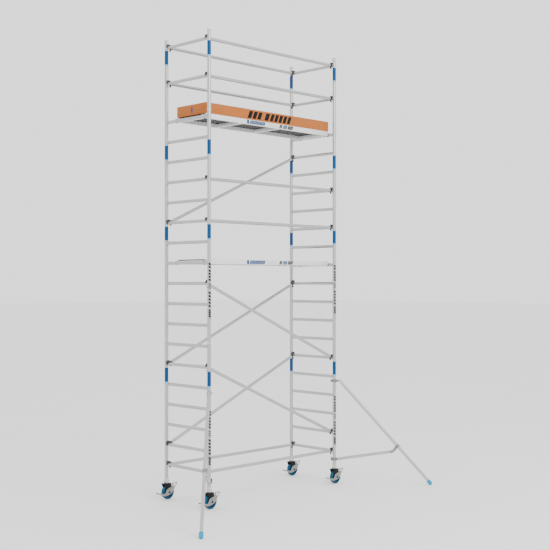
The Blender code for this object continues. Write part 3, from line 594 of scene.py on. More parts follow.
reach = calc("SUBTRACT", given["Radius"], calc("SUBTRACT", spot["Y"], 0.0002))
bent = add("GeometryNodeSetPosition", {"Geometry": row, "Position": point(
    calc("MULTIPLY", reach, calc("SINE", angle)),
    calc("MULTIPLY", calc("MULTIPLY", reach, calc("COSINE", angle)), -1.0),
    leaned)})
finished(add, bent, given["Ink"])


def bar_row(ink, count, pitch, across, tall, slant, radius=STILE):
    return grow(bars, {"Count": count, "Pitch": pitch, "Across": across, "Tall": tall, "Slant": slant,
                       "Radius": radius, "Ink": ink})


def flat_bars(ink, start, y, z, count, pitch, across, tall, slant):
    """A row of bars along X on a face that looks towards -Y."""
    row = bar_row(ink, count, pitch, across, tall, slant, NO_BEND)
    return moved(row, shift(start, y, z), shift(0, NO_BEND, 0), turn(90, "Y"))


def stile_marks(bottom):
    """The groups of bars on a front stile, from the bottom up."""
    groups = ((0.0, 4, 0.028, 0.024), (0.140, 5, 0.044, 0.030), (0.380, 3, 0.028, 0.015),
              (0.49, 4, 0.040, 0.029), (0.660, 2, 0.040, 0.029))
    rows = []
    for start, count, pitch, tall in groups:
        row = bar_row(MARK_BLACK, count, pitch, 0.052, tall, -0.40)
        rows.append(moved(row, shift(0, 0, bottom + start)))
    return rows


print("bars on a stile:", sum(len(m.polygons) for m in stile_marks(0.6)), "faces")

# %% [markdown]
# ## Dressing the frames
# Blue wrap-round labels sit at the same height on every stile, with a paler strip below. A snap clip
# locks each frame to the one under it, and plastic caps close the tops of the guard frames. These are
# nearly all turned pieces, so the lathe helper makes them.

# %% Labels, clips and spigots


def sleeve(material, bottom, top):
    """A thin label wrapped round the stile."""
    inner = STILE - 0.0002
    outer = STILE + 0.0004
    return lathe(material, [(inner, bottom), (outer, bottom), (outer, top), (inner, top)], 40)


def interlock_clip(height):
    """A spring clip round the joint of two stiles, with its tail."""
    band = lathe(CASTING, [(STILE, height - 0.011), (STILE + 0.0022, height - 0.010),
                           (STILE + 0.0022, height + 0.010), (STILE, height + 0.011)], 40)
    tail = slab(CASTING, (-0.007, -STILE - 0.009, height - 0.014),
                (0.007, -STILE + 0.001, height + 0.014), 0.002)
    return [band, tail]


def spigot(top):
    """The tube that stands up into the next frame."""
    outer = 0.0224
    inner = outer - 0.003
    section = [(inner, top - 0.06), (outer, top - 0.06), (outer, top + 0.092), (outer - 0.0024, top + 0.0999),
               (inner, top + 0.0999)]
    return lathe(ZINC, section, 32)


def top_cap(height):
    """A plastic cap that closes the top of a stile."""
    return lathe(CAP_GREY, [
        (0, height), (STILE, height), (STILE + 0.0018, height - 0.003),
        (STILE + 0.0014, height - 0.013), (STILE, height - 0.014), (0, height - 0.014)], 40)


LABELS = {"base": (1.64, 1.835), "mid": (3.61, 3.80), "upper": (4.735, 4.93), "guard": (6.06, 6.25)}
MARKS = {"base": 0.60, "mid": 2.565}
CLIPS = {"mid": 2.215, "upper": 4.185, "guard": 5.33}
ladders = {"base": tall_ladder, "mid": tall_ladder, "upper": short_ladder, "guard": guard_ladder}
for side, sign in SIDES.items():
    x = sign * HALF_LENGTH
    for kind, mesh in ladders.items():
        level, rungs = LEVELS.get(kind, (GUARD_LEVEL, 0))
        bottom, top = LABELS[kind]
        parts = [moved(mesh, shift(x, 0, level))]
        for face, y_sign in FACES.items():
            place = shift(x, y_sign * HALF_WIDTH, 0)
            extras = [sleeve(LABEL_BLUE, bottom, top),
                      sleeve(LABEL_PALE, bottom - 0.028, bottom - 0.0005)]
            if kind in CLIPS:
                extras += interlock_clip(CLIPS[kind])
            if kind in LEVELS:
                extras.append(spigot(level + FIRST_RUNG + rungs * PITCH - PITCH + 0.04))
            if kind == "guard":
                extras.append(top_cap(TOWER_TOP))
            if kind in MARKS and face == "front":
                extras += stile_marks(MARKS[kind])
            parts += [moved(extra, place) for extra in extras]
        thing = piece(f"{kind}_ladder_{side}", "tower", [f"{kind}_frame_{side}"], "aluminium", parts)
print("last ladder piece:", thing.name, len(thing.data.polygons), "faces")

# %% [markdown]
# ## Braces and guard rails
# Every brace is a tube with a cast claw at each end. The claw drops over a rung, and a sprung black
# tongue closes under it. The claw is a flat casting, so it is an outline with rounded edges; the tongue,
# its pin and the collar where the tube is crimped on are separate shapes.

# %% The claw
CLAW_Y = HALF_WIDTH - STILE - 0.003 - 0.015
GRIP = (TUBE + 0.0006) / math.cos(math.radians(19))


def claw():
    """A claw over a rung at the origin; its brace runs off towards -X."""
    hook = arc((0, 0), GRIP, -5, 185, 18)
    back = arc((0, 0), GRIP + 0.0075, -5, 28, 5)
    back += [(0.0270, 0.0420), (0.0245, 0.0455), (-0.0245, 0.0455), (-0.0275, 0.0440)]
    outline = back + [(-0.053, 0.0150), (-0.056, 0.0140), (-0.080, 0.0140), (-0.080, -0.0140),
                      (-0.056, -0.0145), (-0.044, -0.025), (-0.034, -0.028), (-0.030, -0.020)] + hook[::-1]
    body = plate(DARK_CASTING, outline, 0.030, 0.0022)
    ridges = [slab(DARK_CASTING, (x - 0.002, -0.0125, 0.0450), (x + 0.002, 0.0125, 0.0470), 0.0008)
              for x in (-0.016, -0.008, 0.0, 0.008, 0.016)]
    tongue = plate(LATCH_BLACK, [(-0.042, -0.016), (-0.044, -0.026), (-0.036, -0.0495), (-0.024, -0.0495),
                                 (-0.013, -0.043), (-0.012, -0.0345), (-0.024, -0.031), (-0.029, -0.022)],
                   0.014, 0.0018)
    pin = moved(lathe(ZINC, [(0, -0.0155), (0.0035, -0.0155), (0.004, -0.0145), (0.004, 0.0145),
                             (0.0035, 0.0155), (0, 0.0155)], 16), shift(-0.038, 0, -0.020), turn(90, "X"))
    collar = moved(lathe(CASTING, [(TUBE - 0.003, 0), (TUBE - 0.0004, 0), (TUBE - 0.0004, 0.004),
                                   (TUBE - 0.003, 0.005)], 32), shift(-0.0565, 0, 0), turn(-90, "Y"))
    crimps = []
    for x in (-0.066, -0.074):
        crimp = lathe(BRACE_METAL, [
            (TUBE - 0.0006, -0.0022), (TUBE - 0.0002, -0.001),
            (TUBE - 0.0002, 0.001), (TUBE - 0.0006, 0.0022)], 32)
        crimps.append(moved(crimp, shift(x, 0, 0), turn(90, "Y")))
    return [body, tongue, pin, collar] + ridges + crimps


right_claw = claw()
left_claw = [moved(mesh, turn(180, "Z")) for mesh in right_claw]
print("claw faces:", sum(len(mesh.polygons) for mesh in right_claw))

# %% [markdown]
# A brace could be modelled thirteen times. Instead a small tree turns every edge of a wire sketch into
# a tube, and each brace is one edge between two rungs.

# %% The tube-on-edges tree
runs, add = new_tree("tube_on_edges", {"Radius": TUBE, "Wall": WALL, "Sides": 32, "Metal": None})
point = sums(add)[1]
source = add("NodeGroupInput").outputs
ends = add("GeometryNodeInputMeshEdgeVertices").outputs
span = add("ShaderNodeVectorMath", {0: ends["Position 2"], 1: ends["Position 1"]}, operation="SUBTRACT")
keep = add("GeometryNodeCaptureAttribute", {"Geometry": source["Geometry"]}, domain="EDGE")
keep.capture_items.new("VECTOR", "Span")
runs.links.new(span.outputs[0], keep.inputs["Span"])
middles = add("GeometryNodeMeshToPoints", {"Mesh": keep.outputs["Geometry"]}, mode="EDGES")
length = add("ShaderNodeVectorMath", {0: keep.outputs["Span"]}, operation="LENGTH").outputs["Value"]
aim = add("FunctionNodeAlignRotationToVector", {"Vector": keep.outputs["Span"]}, axis="Z")
unit = ring_tube(add, source["Radius"], source["Wall"], 1.0, source["Sides"])
tubes = add("GeometryNodeInstanceOnPoints", {
    "Points": middles, "Instance": unit, "Rotation": aim, "Scale": point(1.0, 1.0, length)})
finished(add, tubes, source["Metal"])


def tube(metal, start, end, sides=32):
    """A hollow tube between two points."""
    sketch = bpy.data.meshes.new("sketch")
    sketch.from_pydata([start, end], [(0, 1)], [])
    return grow(runs, {"Radius": TUBE, "Wall": WALL, "Sides": sides, "Metal": metal}, sketch)


# %% All the braces and rails
KNEE_RAIL = GUARD_LEVEL + GUARD_PITCH
TOP_RAIL = GUARD_LEVEL + 2 * GUARD_PITCH
CLAW_ROOT = 0.057
BRACES = {
    "base_brace_front": ("front", rung_z(1), rung_z(1)), "base_brace_back": ("back", rung_z(1), rung_z(1)),
    "knee_rail_front": ("front", KNEE_RAIL, KNEE_RAIL), "knee_rail_back": ("back", KNEE_RAIL, KNEE_RAIL),
    "top_rail_front": ("front", TOP_RAIL, TOP_RAIL), "top_rail_back": ("back", TOP_RAIL, TOP_RAIL),
    "mid_knee_rail_front": ("front", rung_z(13), rung_z(13)),
    "mid_top_rail_front": ("front", rung_z(15), rung_z(15)),
    "front_diagonal_1": ("front", rung_z(6), rung_z(2)), "front_diagonal_2": ("front", rung_z(10), rung_z(6)),
    "back_diagonal_1": ("back", rung_z(2), rung_z(6)), "back_diagonal_2": ("back", rung_z(6), rung_z(10)),
    "back_diagonal_3": ("back", rung_z(13), rung_z(17)),
}
for name, (face, left, right) in BRACES.items():
    half = math.hypot(2 * HALF_LENGTH, right - left) / 2
    slope = math.atan2(right - left, 2 * HALF_LENGTH)
    place = shift(0, FACES[face] * CLAW_Y, (left + right) / 2) @ Matrix.Rotation(-slope, 4, "Y")
    parts = [tube(BRACE_METAL, (CLAW_ROOT - half, 0, 0), (half - CLAW_ROOT, 0, 0))]
    parts += [moved(mesh, shift(half, 0, 0)) for mesh in right_claw]
    parts += [moved(mesh, shift(-half, 0, 0)) for mesh in left_claw]
    piece(name + "_tube", "tower", [name], "aluminium", [moved(mesh, place) for mesh in parts])
print("braces:", len(BRACES))

# %% [markdown]
# ## Platforms
# Two hollow side beams carry cast hooks at their ends, and cross beams tie them under the deck. The side
# beam is an extrusion, so it is one section with a hollow, given the beam's length. Rivets through each hook
# are many small domes, which a tree sets on the points of a sketch.

# %% Rivets and beams
rivets, add = new_tree("rivets", {"Radius": 0.004, "Metal": None})
source = add("NodeGroupInput").outputs
dome = add("GeometryNodeMeshUVSphere", {"Segments": 10, "Rings": 6, "Radius": source["Radius"]})
flat = add("GeometryNodeTransform", {"Geometry": dome, "Scale": (1.0, 0.55, 1.0)})
set_on = add("GeometryNodeInstanceOnPoints", {"Points": source["Geometry"], "Instance": flat})
finished(add, set_on, source["Metal"])


def rivet_row(points, radius=0.004):
    """Domed heads on faces that look along Y."""
    sketch = bpy.data.meshes.new("rivet_places")
    sketch.from_pydata(points, [], [])
    return grow(rivets, {"Radius": radius, "Metal": ZINC}, sketch)


BEAM_HALF = HALF_LENGTH - 0.035
PLATFORM_WIDTH = 0.61
BEAM_WIDTH = 0.04
FIT = 0.0003
BEAM_Y = (PLATFORM_WIDTH - BEAM_WIDTH) / 2
CENTRE_Y = -0.05
DECK_TOP = 0.0475
DECK_THICK = 0.012
CROSS_X = (-1.194, -0.51, 0.22, 1.194)


def side_beam(outward):
    """A hollow extrusion along X, with two grooves in its outer face."""
    x = BEAM_WIDTH / 2
    groove = x - 0.0012
    section = [(-x, -0.015), (x, -0.015), (x, -0.004), (groove, -0.002), (groove, 0.002), (x, 0.004),
               (x, 0.031), (groove, 0.033), (groove, 0.037), (x, 0.039), (x, 0.05), (-x, 0.05)]
    hollow = rounded(-x + 0.0025, -0.0125, x - 0.0025, 0.0475, 0.002)
    beam = plate(BEAM_METAL, section, 2 * BEAM_HALF, 0.0008, (hollow,))
    return moved(beam, turn(90 * outward, "Z"))


def platform_hook():
    """A cast hook over a rung at the origin, whose root is riveted into the beam end."""
    hook = arc((0, 0), GRIP, -5, 185, 18)
    back = arc((0, 0), GRIP + 0.007, -5, 92, 12)
    outline = back + [(-0.0345, 0.0315), (-0.0345, -0.0055)] + hook[::-1]
    body = plate(CASTING, outline, 0.030, 0.002)
    shoe = slab(CASTING, (-0.0352, -0.0185, -0.0135), (-0.0345, 0.0185, 0.0485), 0.0002)
    lock = plate(LATCH_BLACK, [(-0.034, -0.004), (-0.034, -0.014), (-0.018, -0.032), (-0.010, -0.031),
                               (-0.011, -0.025), (-0.024, -0.013), (-0.0255, -0.004)], 0.010, 0.0015)
    return [body, shoe, lock]


def platform_body(level):
    parts = []
    for side in (-1, 1):
        y = CENTRE_Y + side * BEAM_Y
        parts.append(moved(side_beam(side), shift(0, y, 0)))
        face = y + side * 0.0202
        spots = []
        for x_sign in (-1, 1):
            hook_place = shift(x_sign * HALF_LENGTH, y, 0) @ turn(0 if x_sign > 0 else 180, "Z")
            parts += [moved(mesh, hook_place) for mesh in platform_hook()]
            spots += [(x_sign * (BEAM_HALF - dx), face, z)
                      for dx in (0.018, 0.048) for z in (0.010, 0.026)]
        spots += [(x + dx, face, 0.018) for x in CROSS_X[1:3] for dx in (-0.011, 0.011)]
        parts.append(rivet_row(spots))
    for x in CROSS_X:
        section = rounded(x - 0.02, -0.013, x + 0.02, DECK_TOP - 0.0125, 0.003)
        hollow = rounded(x - 0.0175, -0.0105, x + 0.0175, DECK_TOP - 0.015, 0.002)
        cross = plate(BEAM_METAL, section, 2 * BEAM_Y - 0.0402, 0.0, (hollow,))
        parts.append(moved(cross, shift(0, CENTRE_Y, 0)))
    return [moved(mesh, shift(0, 0, level)) for mesh in parts]


# %% [markdown]
# The deck drops between the beams, and the hatch in its left-hand bay turns on two strap hinges along its
# back edge. An aluminium strip edges the opening, and a rim edges the hatch's grip. Boards are outlines
# with a hole, laid flat.

# %% Decks, hatches and beam marks
HATCH = (-1.19, -0.515)
HATCH_Y = (-0.275, 0.175)
STRIP_WIDTH = 0.020
DECK_HALF = PLATFORM_WIDTH / 2 - BEAM_WIDTH - FIT


def flat_board(material, outline, bottom, top, holes=(), edge=0.0006):
    """A board lying flat: its outline and holes are drawn in X and Y."""
    board = plate(material, flipped(outline), top - bottom, edge, [flipped(hole) for hole in holes])
    return moved(board, shift(0, 0, (bottom + top) / 2), turn(90, "X"))


def box_outline(x0, y0, x1, y1):
    return [(x0, y0), (x1, y0), (x1, y1), (x0, y1)]


def hatch_outline(room):
    """The hatch's edge, let out by some room on every side."""
    return box_outline(HATCH[0] - room, HATCH_Y[0] - room, HATCH[1] + room, HATCH_Y[1] + room)


def flipped(points):
    return [(x, -y) for x, y in points]


def deck(level):
    """The ply round the hatchway, the strip at its edge and two rows of screws."""
    top = level + DECK_TOP
    outline = box_outline(FIT - BEAM_HALF, CENTRE_Y - DECK_HALF, BEAM_HALF - FIT, CENTRE_Y + DECK_HALF)
    hole = hatch_outline(0.0025)
    board = flat_board(DECK_PLY, outline, top - DECK_THICK, top, (hole,))
    strip = flat_board(BEAM_METAL, hatch_outline(STRIP_WIDTH), top + 0.0001, top + 0.0013, (hole,), 0.0003)
    screw = lathe(ZINC, [(0, 0), (0.0045, 0), (0.0035, 0.0009), (0, 0.0012)], 12)
    screws = []
    for x in [-1.1 + 0.25 * i for i in range(10)]:
        for y in (-0.303, 0.203):
            screws.append(moved(screw, shift(x, y, top + 0.0001)))
    return [board, strip] + screws


def hatch(level):
    """The hatch, its grip hole with a rim, and two strap hinges."""
    top = level + DECK_TOP
    x0, x1 = HATCH
    y0, y1 = HATCH_Y
    grip = rounded(x0 + 0.30, y0 + 0.03, x0 + 0.40, y0 + 0.07, 0.015)
    panel = flat_board(DECK_PLY, box_outline(x0, y0, x1, y1), top - DECK_THICK, top, (grip,))
    rim_out = rounded(x0 + 0.293, y0 + 0.023, x0 + 0.407, y0 + 0.077, 0.02)
    rim = flat_board(BEAM_METAL, rim_out, top + 0.0001, top + 0.0015, (grip,), 0.0004)
    parts = [panel, rim]
    for x in (x0 + 0.12, x1 - 0.12):
        parts.append(slab(ZINC, (x - 0.02, y1 - 0.075, top + 0.0001),
                          (x + 0.02, y1 - 0.001, top + 0.002), 0.0006))
        knuckle = lathe(ZINC, [(0, -0.022), (0.0016, -0.022), (0.0021, -0.0215), (0.0021, 0.0215),
                               (0.0016, 0.022), (0, 0.022)], 16)
        parts.append(moved(knuckle, shift(x, y1, top), turn(90, "Y")))
        for dy in (0.025, 0.055):
            parts.append(moved(lathe(ZINC, [(0, 0), (0.0042, 0), (0.003, 0.0012), (0, 0.0016)], 12),
                               shift(x, y1 - dy, top + 0.002)))
    return parts


def beam_marks(level):
    """Plain blocks of colour and slanted bars along the outer face of the front beam."""
    y = CENTRE_Y - BEAM_Y - BEAM_WIDTH / 2
    low = level - 0.0105
    high = level + 0.0455

    def chip(ink, x0, x1, z0=0.0, z1=1.0):
        bottom = low + (high - low) * z0
        top = low + (high - low) * z1
        return slab(ink, (x0, y - 0.0005, bottom), (x1, y + 0.0003, top), 0.0)

    parts = [chip(LABEL_BLUE, -0.465, -0.425), chip(LABEL_GREEN, -0.05, 0.13, 0.2, 0.7)]
    for ink, start, count in ((LABEL_BLUE, -0.395, 11), (MARK_BLACK, 0.19, 2), (LABEL_BLUE, 0.265, 3),
                              (MARK_BLACK, 0.36, 4)):
        parts.append(flat_bars(ink, start, y, (low + high) / 2, count, 0.027, 0.052, 0.0225, -0.4))
    return parts


for name, number in PLATFORM_RUNGS.items():
    level = rung_z(number)
    body = platform_body(level) + beam_marks(level)
    piece(f"{name}_platform", "tower", [f"{name}_platform_frame"], "aluminium", body)
    piece(f"{name}_deck_board", "tower", [f"{name}_deck"], "phenolic_plywood", deck(level))
    thing = piece(
        f"{name}_hatch_panel", f"{name}_hatch", [f"{name}_hatch"], "phenolic_plywood", hatch(level))
    first, last = thing.bound_box[0][0], thing.bound_box[6][0]
    print(name, "hatch spans x", round(first, 3), "to", round(last, 3))

# %% [markdown]
# ## Toe boards
# Four boards stand on the upper platform. Their faces are filmed orange brown, their cut edges show
# the layers of the ply, and bent clips hold the corners. The printed marks are slanted bars again.

# %% Toe boards
BOARD_BOTTOM = rung_z(PLATFORM_RUNGS["upper"]) + 0.0503
BOARD_THICK = 0.02
BOARD_TOP = BOARD_BOTTOM + 0.147
BOARD_X = BEAM_HALF + 0.005
BOARD_Y = PLATFORM_WIDTH / 2


def toe_board(x0, y0, x1, y1):
    """A board with a face on each side and a sealed edge strip along its top."""
    board = slab(TOE_PLY, (x0, y0, BOARD_BOTTOM), (x1, y1, BOARD_TOP - 0.0025), 0.0006)
    strip = slab(TOE_PLY_EDGE, (x0 + 0.0004, y0 + 0.0004, BOARD_TOP - 0.0026),
                 (x1 - 0.0004, y1 - 0.0004, BOARD_TOP), 0.0008)
    return [board, strip]


def corner_clip(x, y, x_sign, y_sign):
    """A bent strip round the inside of a corner, with two rivets."""
    leg = 0.045
    thick = 0.0018
    clips = []
    for length, depth in ((leg, thick), (thick, leg)):
        x_ends = sorted((x, x - x_sign * length))
        y_ends = sorted((y, y - y_sign * depth))
        clips.append(slab(CASTING, (x_ends[0], y_ends[0], BOARD_BOTTOM + 0.03),
                          (x_ends[1], y_ends[1], BOARD_TOP - 0.03), 0.0006))
    spots = [(x - x_sign * 0.030, y - y_sign * (thick + 0.0005), BOARD_BOTTOM + dz) for dz in (0.05, 0.10)]
    return clips + [rivet_row(spots, 0.0035)]


front_y = CENTRE_Y - BOARD_Y
back_y = CENTRE_Y + BOARD_Y
end_front = front_y + BOARD_THICK + FIT
end_back = back_y - BOARD_THICK - FIT
boards = {
    "front": toe_board(-BOARD_X, front_y, BOARD_X, front_y + BOARD_THICK),
    "back": toe_board(-BOARD_X, back_y - BOARD_THICK, BOARD_X, back_y),
    "left": toe_board(-BOARD_X, end_front, -BOARD_X + BOARD_THICK, end_back),
    "right": toe_board(BOARD_X - BOARD_THICK, end_front, BOARD_X, end_back),
}
for face, y_sign, y in (("front", -1, front_y + BOARD_THICK), ("back", 1, back_y - BOARD_THICK)):
    for x_sign in (-1, 1):
        boards[face] += corner_clip(x_sign * (BOARD_X - BOARD_THICK), y, x_sign, y_sign)
MARK_MIDDLE = BOARD_BOTTOM + 0.072
BOARD_MARKS = ((-0.40, 3, 0.092, 0.068), (-0.070, 1, 0.09, 0.076), (0.030, 5, 0.086, 0.062))
for start, count, pitch, tall in BOARD_MARKS:
    boards["front"].append(
        flat_bars(MARK_BLACK, start, front_y, MARK_MIDDLE, count, pitch, 0.104, tall, -0.42))
boards["left"].append(slab(LABEL_BLUE, (-BOARD_X - 0.0004, -0.075, BOARD_BOTTOM + 0.035),
                           (-BOARD_X + 0.0002, -0.045, BOARD_BOTTOM + 0.11), 0.0))
for face, parts in boards.items():
    piece(f"toe_board_{face}_ply", "tower", [f"toe_board_{face}"], "toe_board_plywood", parts)
print("toe boards from", round(BOARD_BOTTOM, 4), "to", round(BOARD_TOP, 4))

# %% [markdown]
# ## Castors
# A castor carries each corner: a wheel between the cheeks of a black fork, a swivel head, a hollow
# threaded leg inside the stile, and a winged nut that sets the height. The leg's thread is a coil, which
# the Spiral curve gives directly. All four castors are the same, so each part is made once and placed
# four times.

# %% Leg and nut
coil, add = new_tree("leg_thread", {
    "Radius": 0.0176, "Turns": 44.0, "Height": 0.352, "Crest": 0.0018, "Metal": None})
source = add("NodeGroupInput").outputs
helix = add("GeometryNodeCurveSpiral", {
    "Resolution": 28, "Rotations": source["Turns"], "Start Radius": source["Radius"],
    "End Radius": source["Radius"], "Height": source["Height"]})
crest = add("GeometryNodeCurvePrimitiveCircle", {"Resolution": 6, "Radius": source["Crest"]})
swept = add("GeometryNodeCurveToMesh", {"Curve": helix, "Profile Curve": crest, "Fill Caps": True})
finished(add, swept, source["Metal"])


def castor_leg():
    """The hollow leg with its flange, and the thread that winds up it."""
    core = lathe(ZINC, [
        (0, 0.2356), (0.0148, 0.2356), (0.0148, 0.6188), (0.0160, 0.62), (0.0176, 0.62), (0.0186, 0.6186),
        (0.0186, 0.2356), (0.0292, 0.2352), (0.03, 0.2345), (0.03, 0.2262), (0.0292, 0.2254),
        (0, 0.2254)], 40)
    thread = grow(coil, {"Metal": ZINC})
    return [core, moved(thread, shift(0, 0, 0.262))]


def adjusting_nut():
    """A ribbed cup round the foot of the stile, with two wings."""
    cup = STILE + 0.0014
    outer = 0.031
    body = lathe(CASTING, [
        (0.0197, 0.2358), (0.029, 0.2358), (outer, 0.2376), (outer, 0.2440), (0.0302, 0.2475),
        (0.0302, 0.286), (outer, 0.289), (outer, 0.2985), (0.0303, 0.30), (cup, 0.30), (cup, 0.2505),
        (0.0197, 0.2505)], 40)
    parts = [body]
    wing_shape = [(0.0285, -0.0095)] + arc((0.0415, 0), 0.0102, -80, 80, 8) + [(0.0285, 0.0095)]
    for degrees in (0, 180):
        wing = plate(CASTING, wing_shape, 0.018, 0.0022)
        parts.append(moved(wing, turn(degrees, "Z"), shift(0, 0, 0.2460), turn(90, "X")))
    for i in range(12):
        angle = math.radians(15 + 30 * i)
        rib = slab(CASTING, (0.0290, -0.0016, 0.2485), (0.0308, 0.0016, 0.2860), 0.0004)
        parts.append(moved(rib, Matrix.Rotation(angle, 4, "Z")))
    return parts


print("thread faces:", len(castor_leg()[1].polygons))

# %% [markdown]
# The wheel is turned: a rounded tyre, a stepped core and a hub. Eight ribs stiffen the core, and a small tree
# sets them round the axle.

# %% Wheel, fork and brake
spokes, add = new_tree("wheel_ribs", {
    "Count": 8, "Inner": 0.026, "Outer": 0.071, "Deep": 0.036, "Thick": 0.004, "Metal": None})
calc, point = sums(add)
source = add("NodeGroupInput").outputs
rib_length = calc("SUBTRACT", source["Outer"], source["Inner"])
rib = add("GeometryNodeMeshCube", {"Size": point(rib_length, source["Thick"], source["Deep"])})
rib_middle = calc("MULTIPLY", calc("ADD", source["Outer"], source["Inner"]), 0.5)
rib = add("GeometryNodeTransform", {"Geometry": rib, "Translation": point(rib_middle, 0.0, 0.0)})
hub_line = add("GeometryNodeMeshLine", {"Count": source["Count"], "Offset": (0.0, 0.0, 0.0)})
step_angle = calc("DIVIDE", 2 * math.pi, source["Count"])
around = point(0.0, 0.0, calc("MULTIPLY", add("GeometryNodeInputIndex"), step_angle))
ribs = add("GeometryNodeInstanceOnPoints", {"Points": hub_line, "Instance": rib, "Rotation": around})
finished(add, ribs, source["Metal"])

WHEEL = 0.10
AXLE_X = 0.02
CHEEK_INSIDE = 0.029
CHEEK_OUTSIDE = 0.039


def castor_wheel():
    """Tyre, core, ribs and hub about Z, turned to lie about Y."""
    half = 0.025

    def both_sides(points):
        """Points of one side, then their mirror images in reverse."""
        return points + [(r, -z) for r, z in points[::-1]]

    corner = arc((WHEEL - 0.010, half - 0.010), 0.010, 90, 8, 6)
    crown = corner + [(WHEEL - 0.0001, 0.009), (WHEEL, 0.0), (WHEEL - 0.0001, -0.009)]
    crown += [(r, -z) for r, z in corner[::-1]]
    inner = [(0.0765, -half + 0.0004), (0.0745, -half + 0.003), (0.0745, half - 0.003)]
    tyre = lathe(TYRE_BLUE, [(0.0765, half - 0.0004)] + crown + inner, 72)
    core = lathe(HUB_BLUE, both_sides([
        (0.0255, 0.0245), (0.0275, 0.0225), (0.0285, 0.0075), (0.0690, 0.0065), (0.0705, 0.0225),
        (0.0720, 0.0240), (0.0748, 0.0240)]), 72)
    bearing = lathe(ZINC, both_sides([
        (0.0092, 0.0268), (0.0150, 0.0268), (0.0160, 0.0262), (0.0256, 0.0250)]), 32)
    parts = [tyre, core, bearing, grow(spokes, {"Metal": HUB_BLUE})]
    return [moved(mesh, turn(90, "X")) for mesh in parts]


def hex_head(material, radius, height):
    """The head of a bolt or a nut, standing on the origin."""
    points = [(radius, 0), (radius, height - 0.001), (radius - 0.0012, height), (0, height), (0, 0)]
    return lathe(material, points[::-1], 6)


def castor_fork():
    """Head, cheeks and axle bolt, placed about the swivel axis with the floor at Z = 0."""
    parts = []
    cheek = [(-0.0605, 0.222), (-0.0560, 0.203), (-0.046, 0.178), (-0.022, 0.140)]
    cheek += arc((AXLE_X, WHEEL), 0.0238, 165, 375, 16)
    cheek += [(0.048, 0.150), (0.0530, 0.180), (0.0590, 0.204), (0.0605, 0.222)]
    for side in (-1, 1):
        middle = side * (CHEEK_INSIDE + CHEEK_OUTSIDE) / 2
        wall = plate(POWDER_BLACK, cheek, CHEEK_OUTSIDE - CHEEK_INSIDE - 0.002, 0.0015)
        parts.append(moved(wall, shift(0, middle, 0)))
        rim = wire(POWDER_BLACK, [
            (-0.050, 0, 0.200), (-0.040, 0, 0.176), (-0.014, 0, 0.140), (0.020, 0, 0.126),
            (0.040, 0, 0.142), (0.046, 0, 0.172), (0.052, 0, 0.200)], 0.0030)
        parts.append(moved(rim, shift(0, side * CHEEK_OUTSIDE - side * 0.0028, 0)))
    parts.append(slab(
        POWDER_BLACK, (-0.0622, -CHEEK_OUTSIDE, 0.2075), (0.0622, CHEEK_OUTSIDE, 0.2215), 0.003))
    parts.append(lathe(POWDER_BLACK, [
        (0, 0.2195), (0.0365, 0.2195), (0.037, 0.2205), (0.036, 0.2242), (0.034, 0.225),
        (0, 0.225)], 48))
    for x in (-0.048, 0.048):
        for y in (-0.026, 0.026):
            parts.append(moved(hex_head(POWDER_BLACK, 0.0055, 0.003), shift(x, y, 0.2210)))
    bolt = lathe(ZINC, [(0, -0.0439), (0.008, -0.0439), (0.008, 0.0395), (0, 0.0395)], 24)
    parts.append(moved(bolt, shift(AXLE_X, 0, WHEEL), turn(-90, "X")))
    for degrees, y in ((90, -0.0439), (-90, 0.0392)):
        nut = hex_head(LATCH_BLACK, 0.0128, 0.0086)
        parts.append(moved(nut, shift(AXLE_X, y, WHEEL), turn(degrees, "X")))
    return parts


def brake_lever():
    """Brake plate with its pedal and the bent release loop, drawn from the axle."""
    outline = [
        (-0.181, -0.0100), (-0.140, -0.0290), (-0.100, -0.0450), (-0.070, -0.0485), (-0.040, -0.0465),
        (-0.018, -0.0420), (0.000, -0.0365), (0.020, -0.0285), (0.040, -0.0185), (0.056, -0.0060),
        (0.068, 0.0100), (0.078, 0.0280), (0.092, 0.046), (0.138, 0.110), (0.139, 0.116), (0.135, 0.1215),
        (0.129, 0.1238), (0.058, 0.1238), (0.052, 0.121), (0.047, 0.108), (0.044, 0.090), (0.036, 0.074),
        (0.024, 0.066), (-0.006, 0.0600), (-0.026, 0.0530), (-0.042, 0.0450), (-0.053, 0.0330),
        (-0.0600, 0.0180), (-0.066, 0.0000), (-0.078, -0.0120), (-0.110, -0.0100), (-0.180, 0.0060)]
    bore = arc((0, 0), 0.0093, 0, 345, 23)
    slot = rounded(-0.022, 0.036, 0.002, 0.044, 0.0038)
    window = [
        (0.070, 0.1100), (0.068, 0.107), (0.0675, 0.104), (0.084, 0.065), (0.087, 0.063), (0.090, 0.066),
        (0.117, 0.105), (0.117, 0.108), (0.114, 0.110)]
    web = plate(LEVER_STEEL, outline, 0.004, 0.0008, (bore, slot, window[::-1]))
    bead = [(0.060, 0.1175), (0.130, 0.1175), (0.088, 0.054)]
    bar = wire(LEVER_STEEL, [(x, 0, z) for x, z in bead], 0.0030, sides=12)
    bar = moved(bar, Matrix.Diagonal((1, 0.66, 1, 1)))
    pedal_x = -0.183
    rod = lathe(ZINC, [
        (0, 0), (0.0072, 0), (0.0082, 0.001), (0.0082, 0.061), (0.0072, 0.0619), (0, 0.0619)], 24)
    pedal = [moved(rod, shift(pedal_x, -0.0019, 0), turn(-90, "X"))]
    ring = lathe(LATCH_BLACK, [
        (0.0080, -0.0022), (0.0088, -0.0012), (0.0088, 0.0012), (0.0080, 0.0022)], 24)
    for i in range(7):
        pedal.append(moved(ring, shift(pedal_x, 0.008 + 0.0080 * i, 0), turn(-90, "X")))
    return [web, bar] + pedal


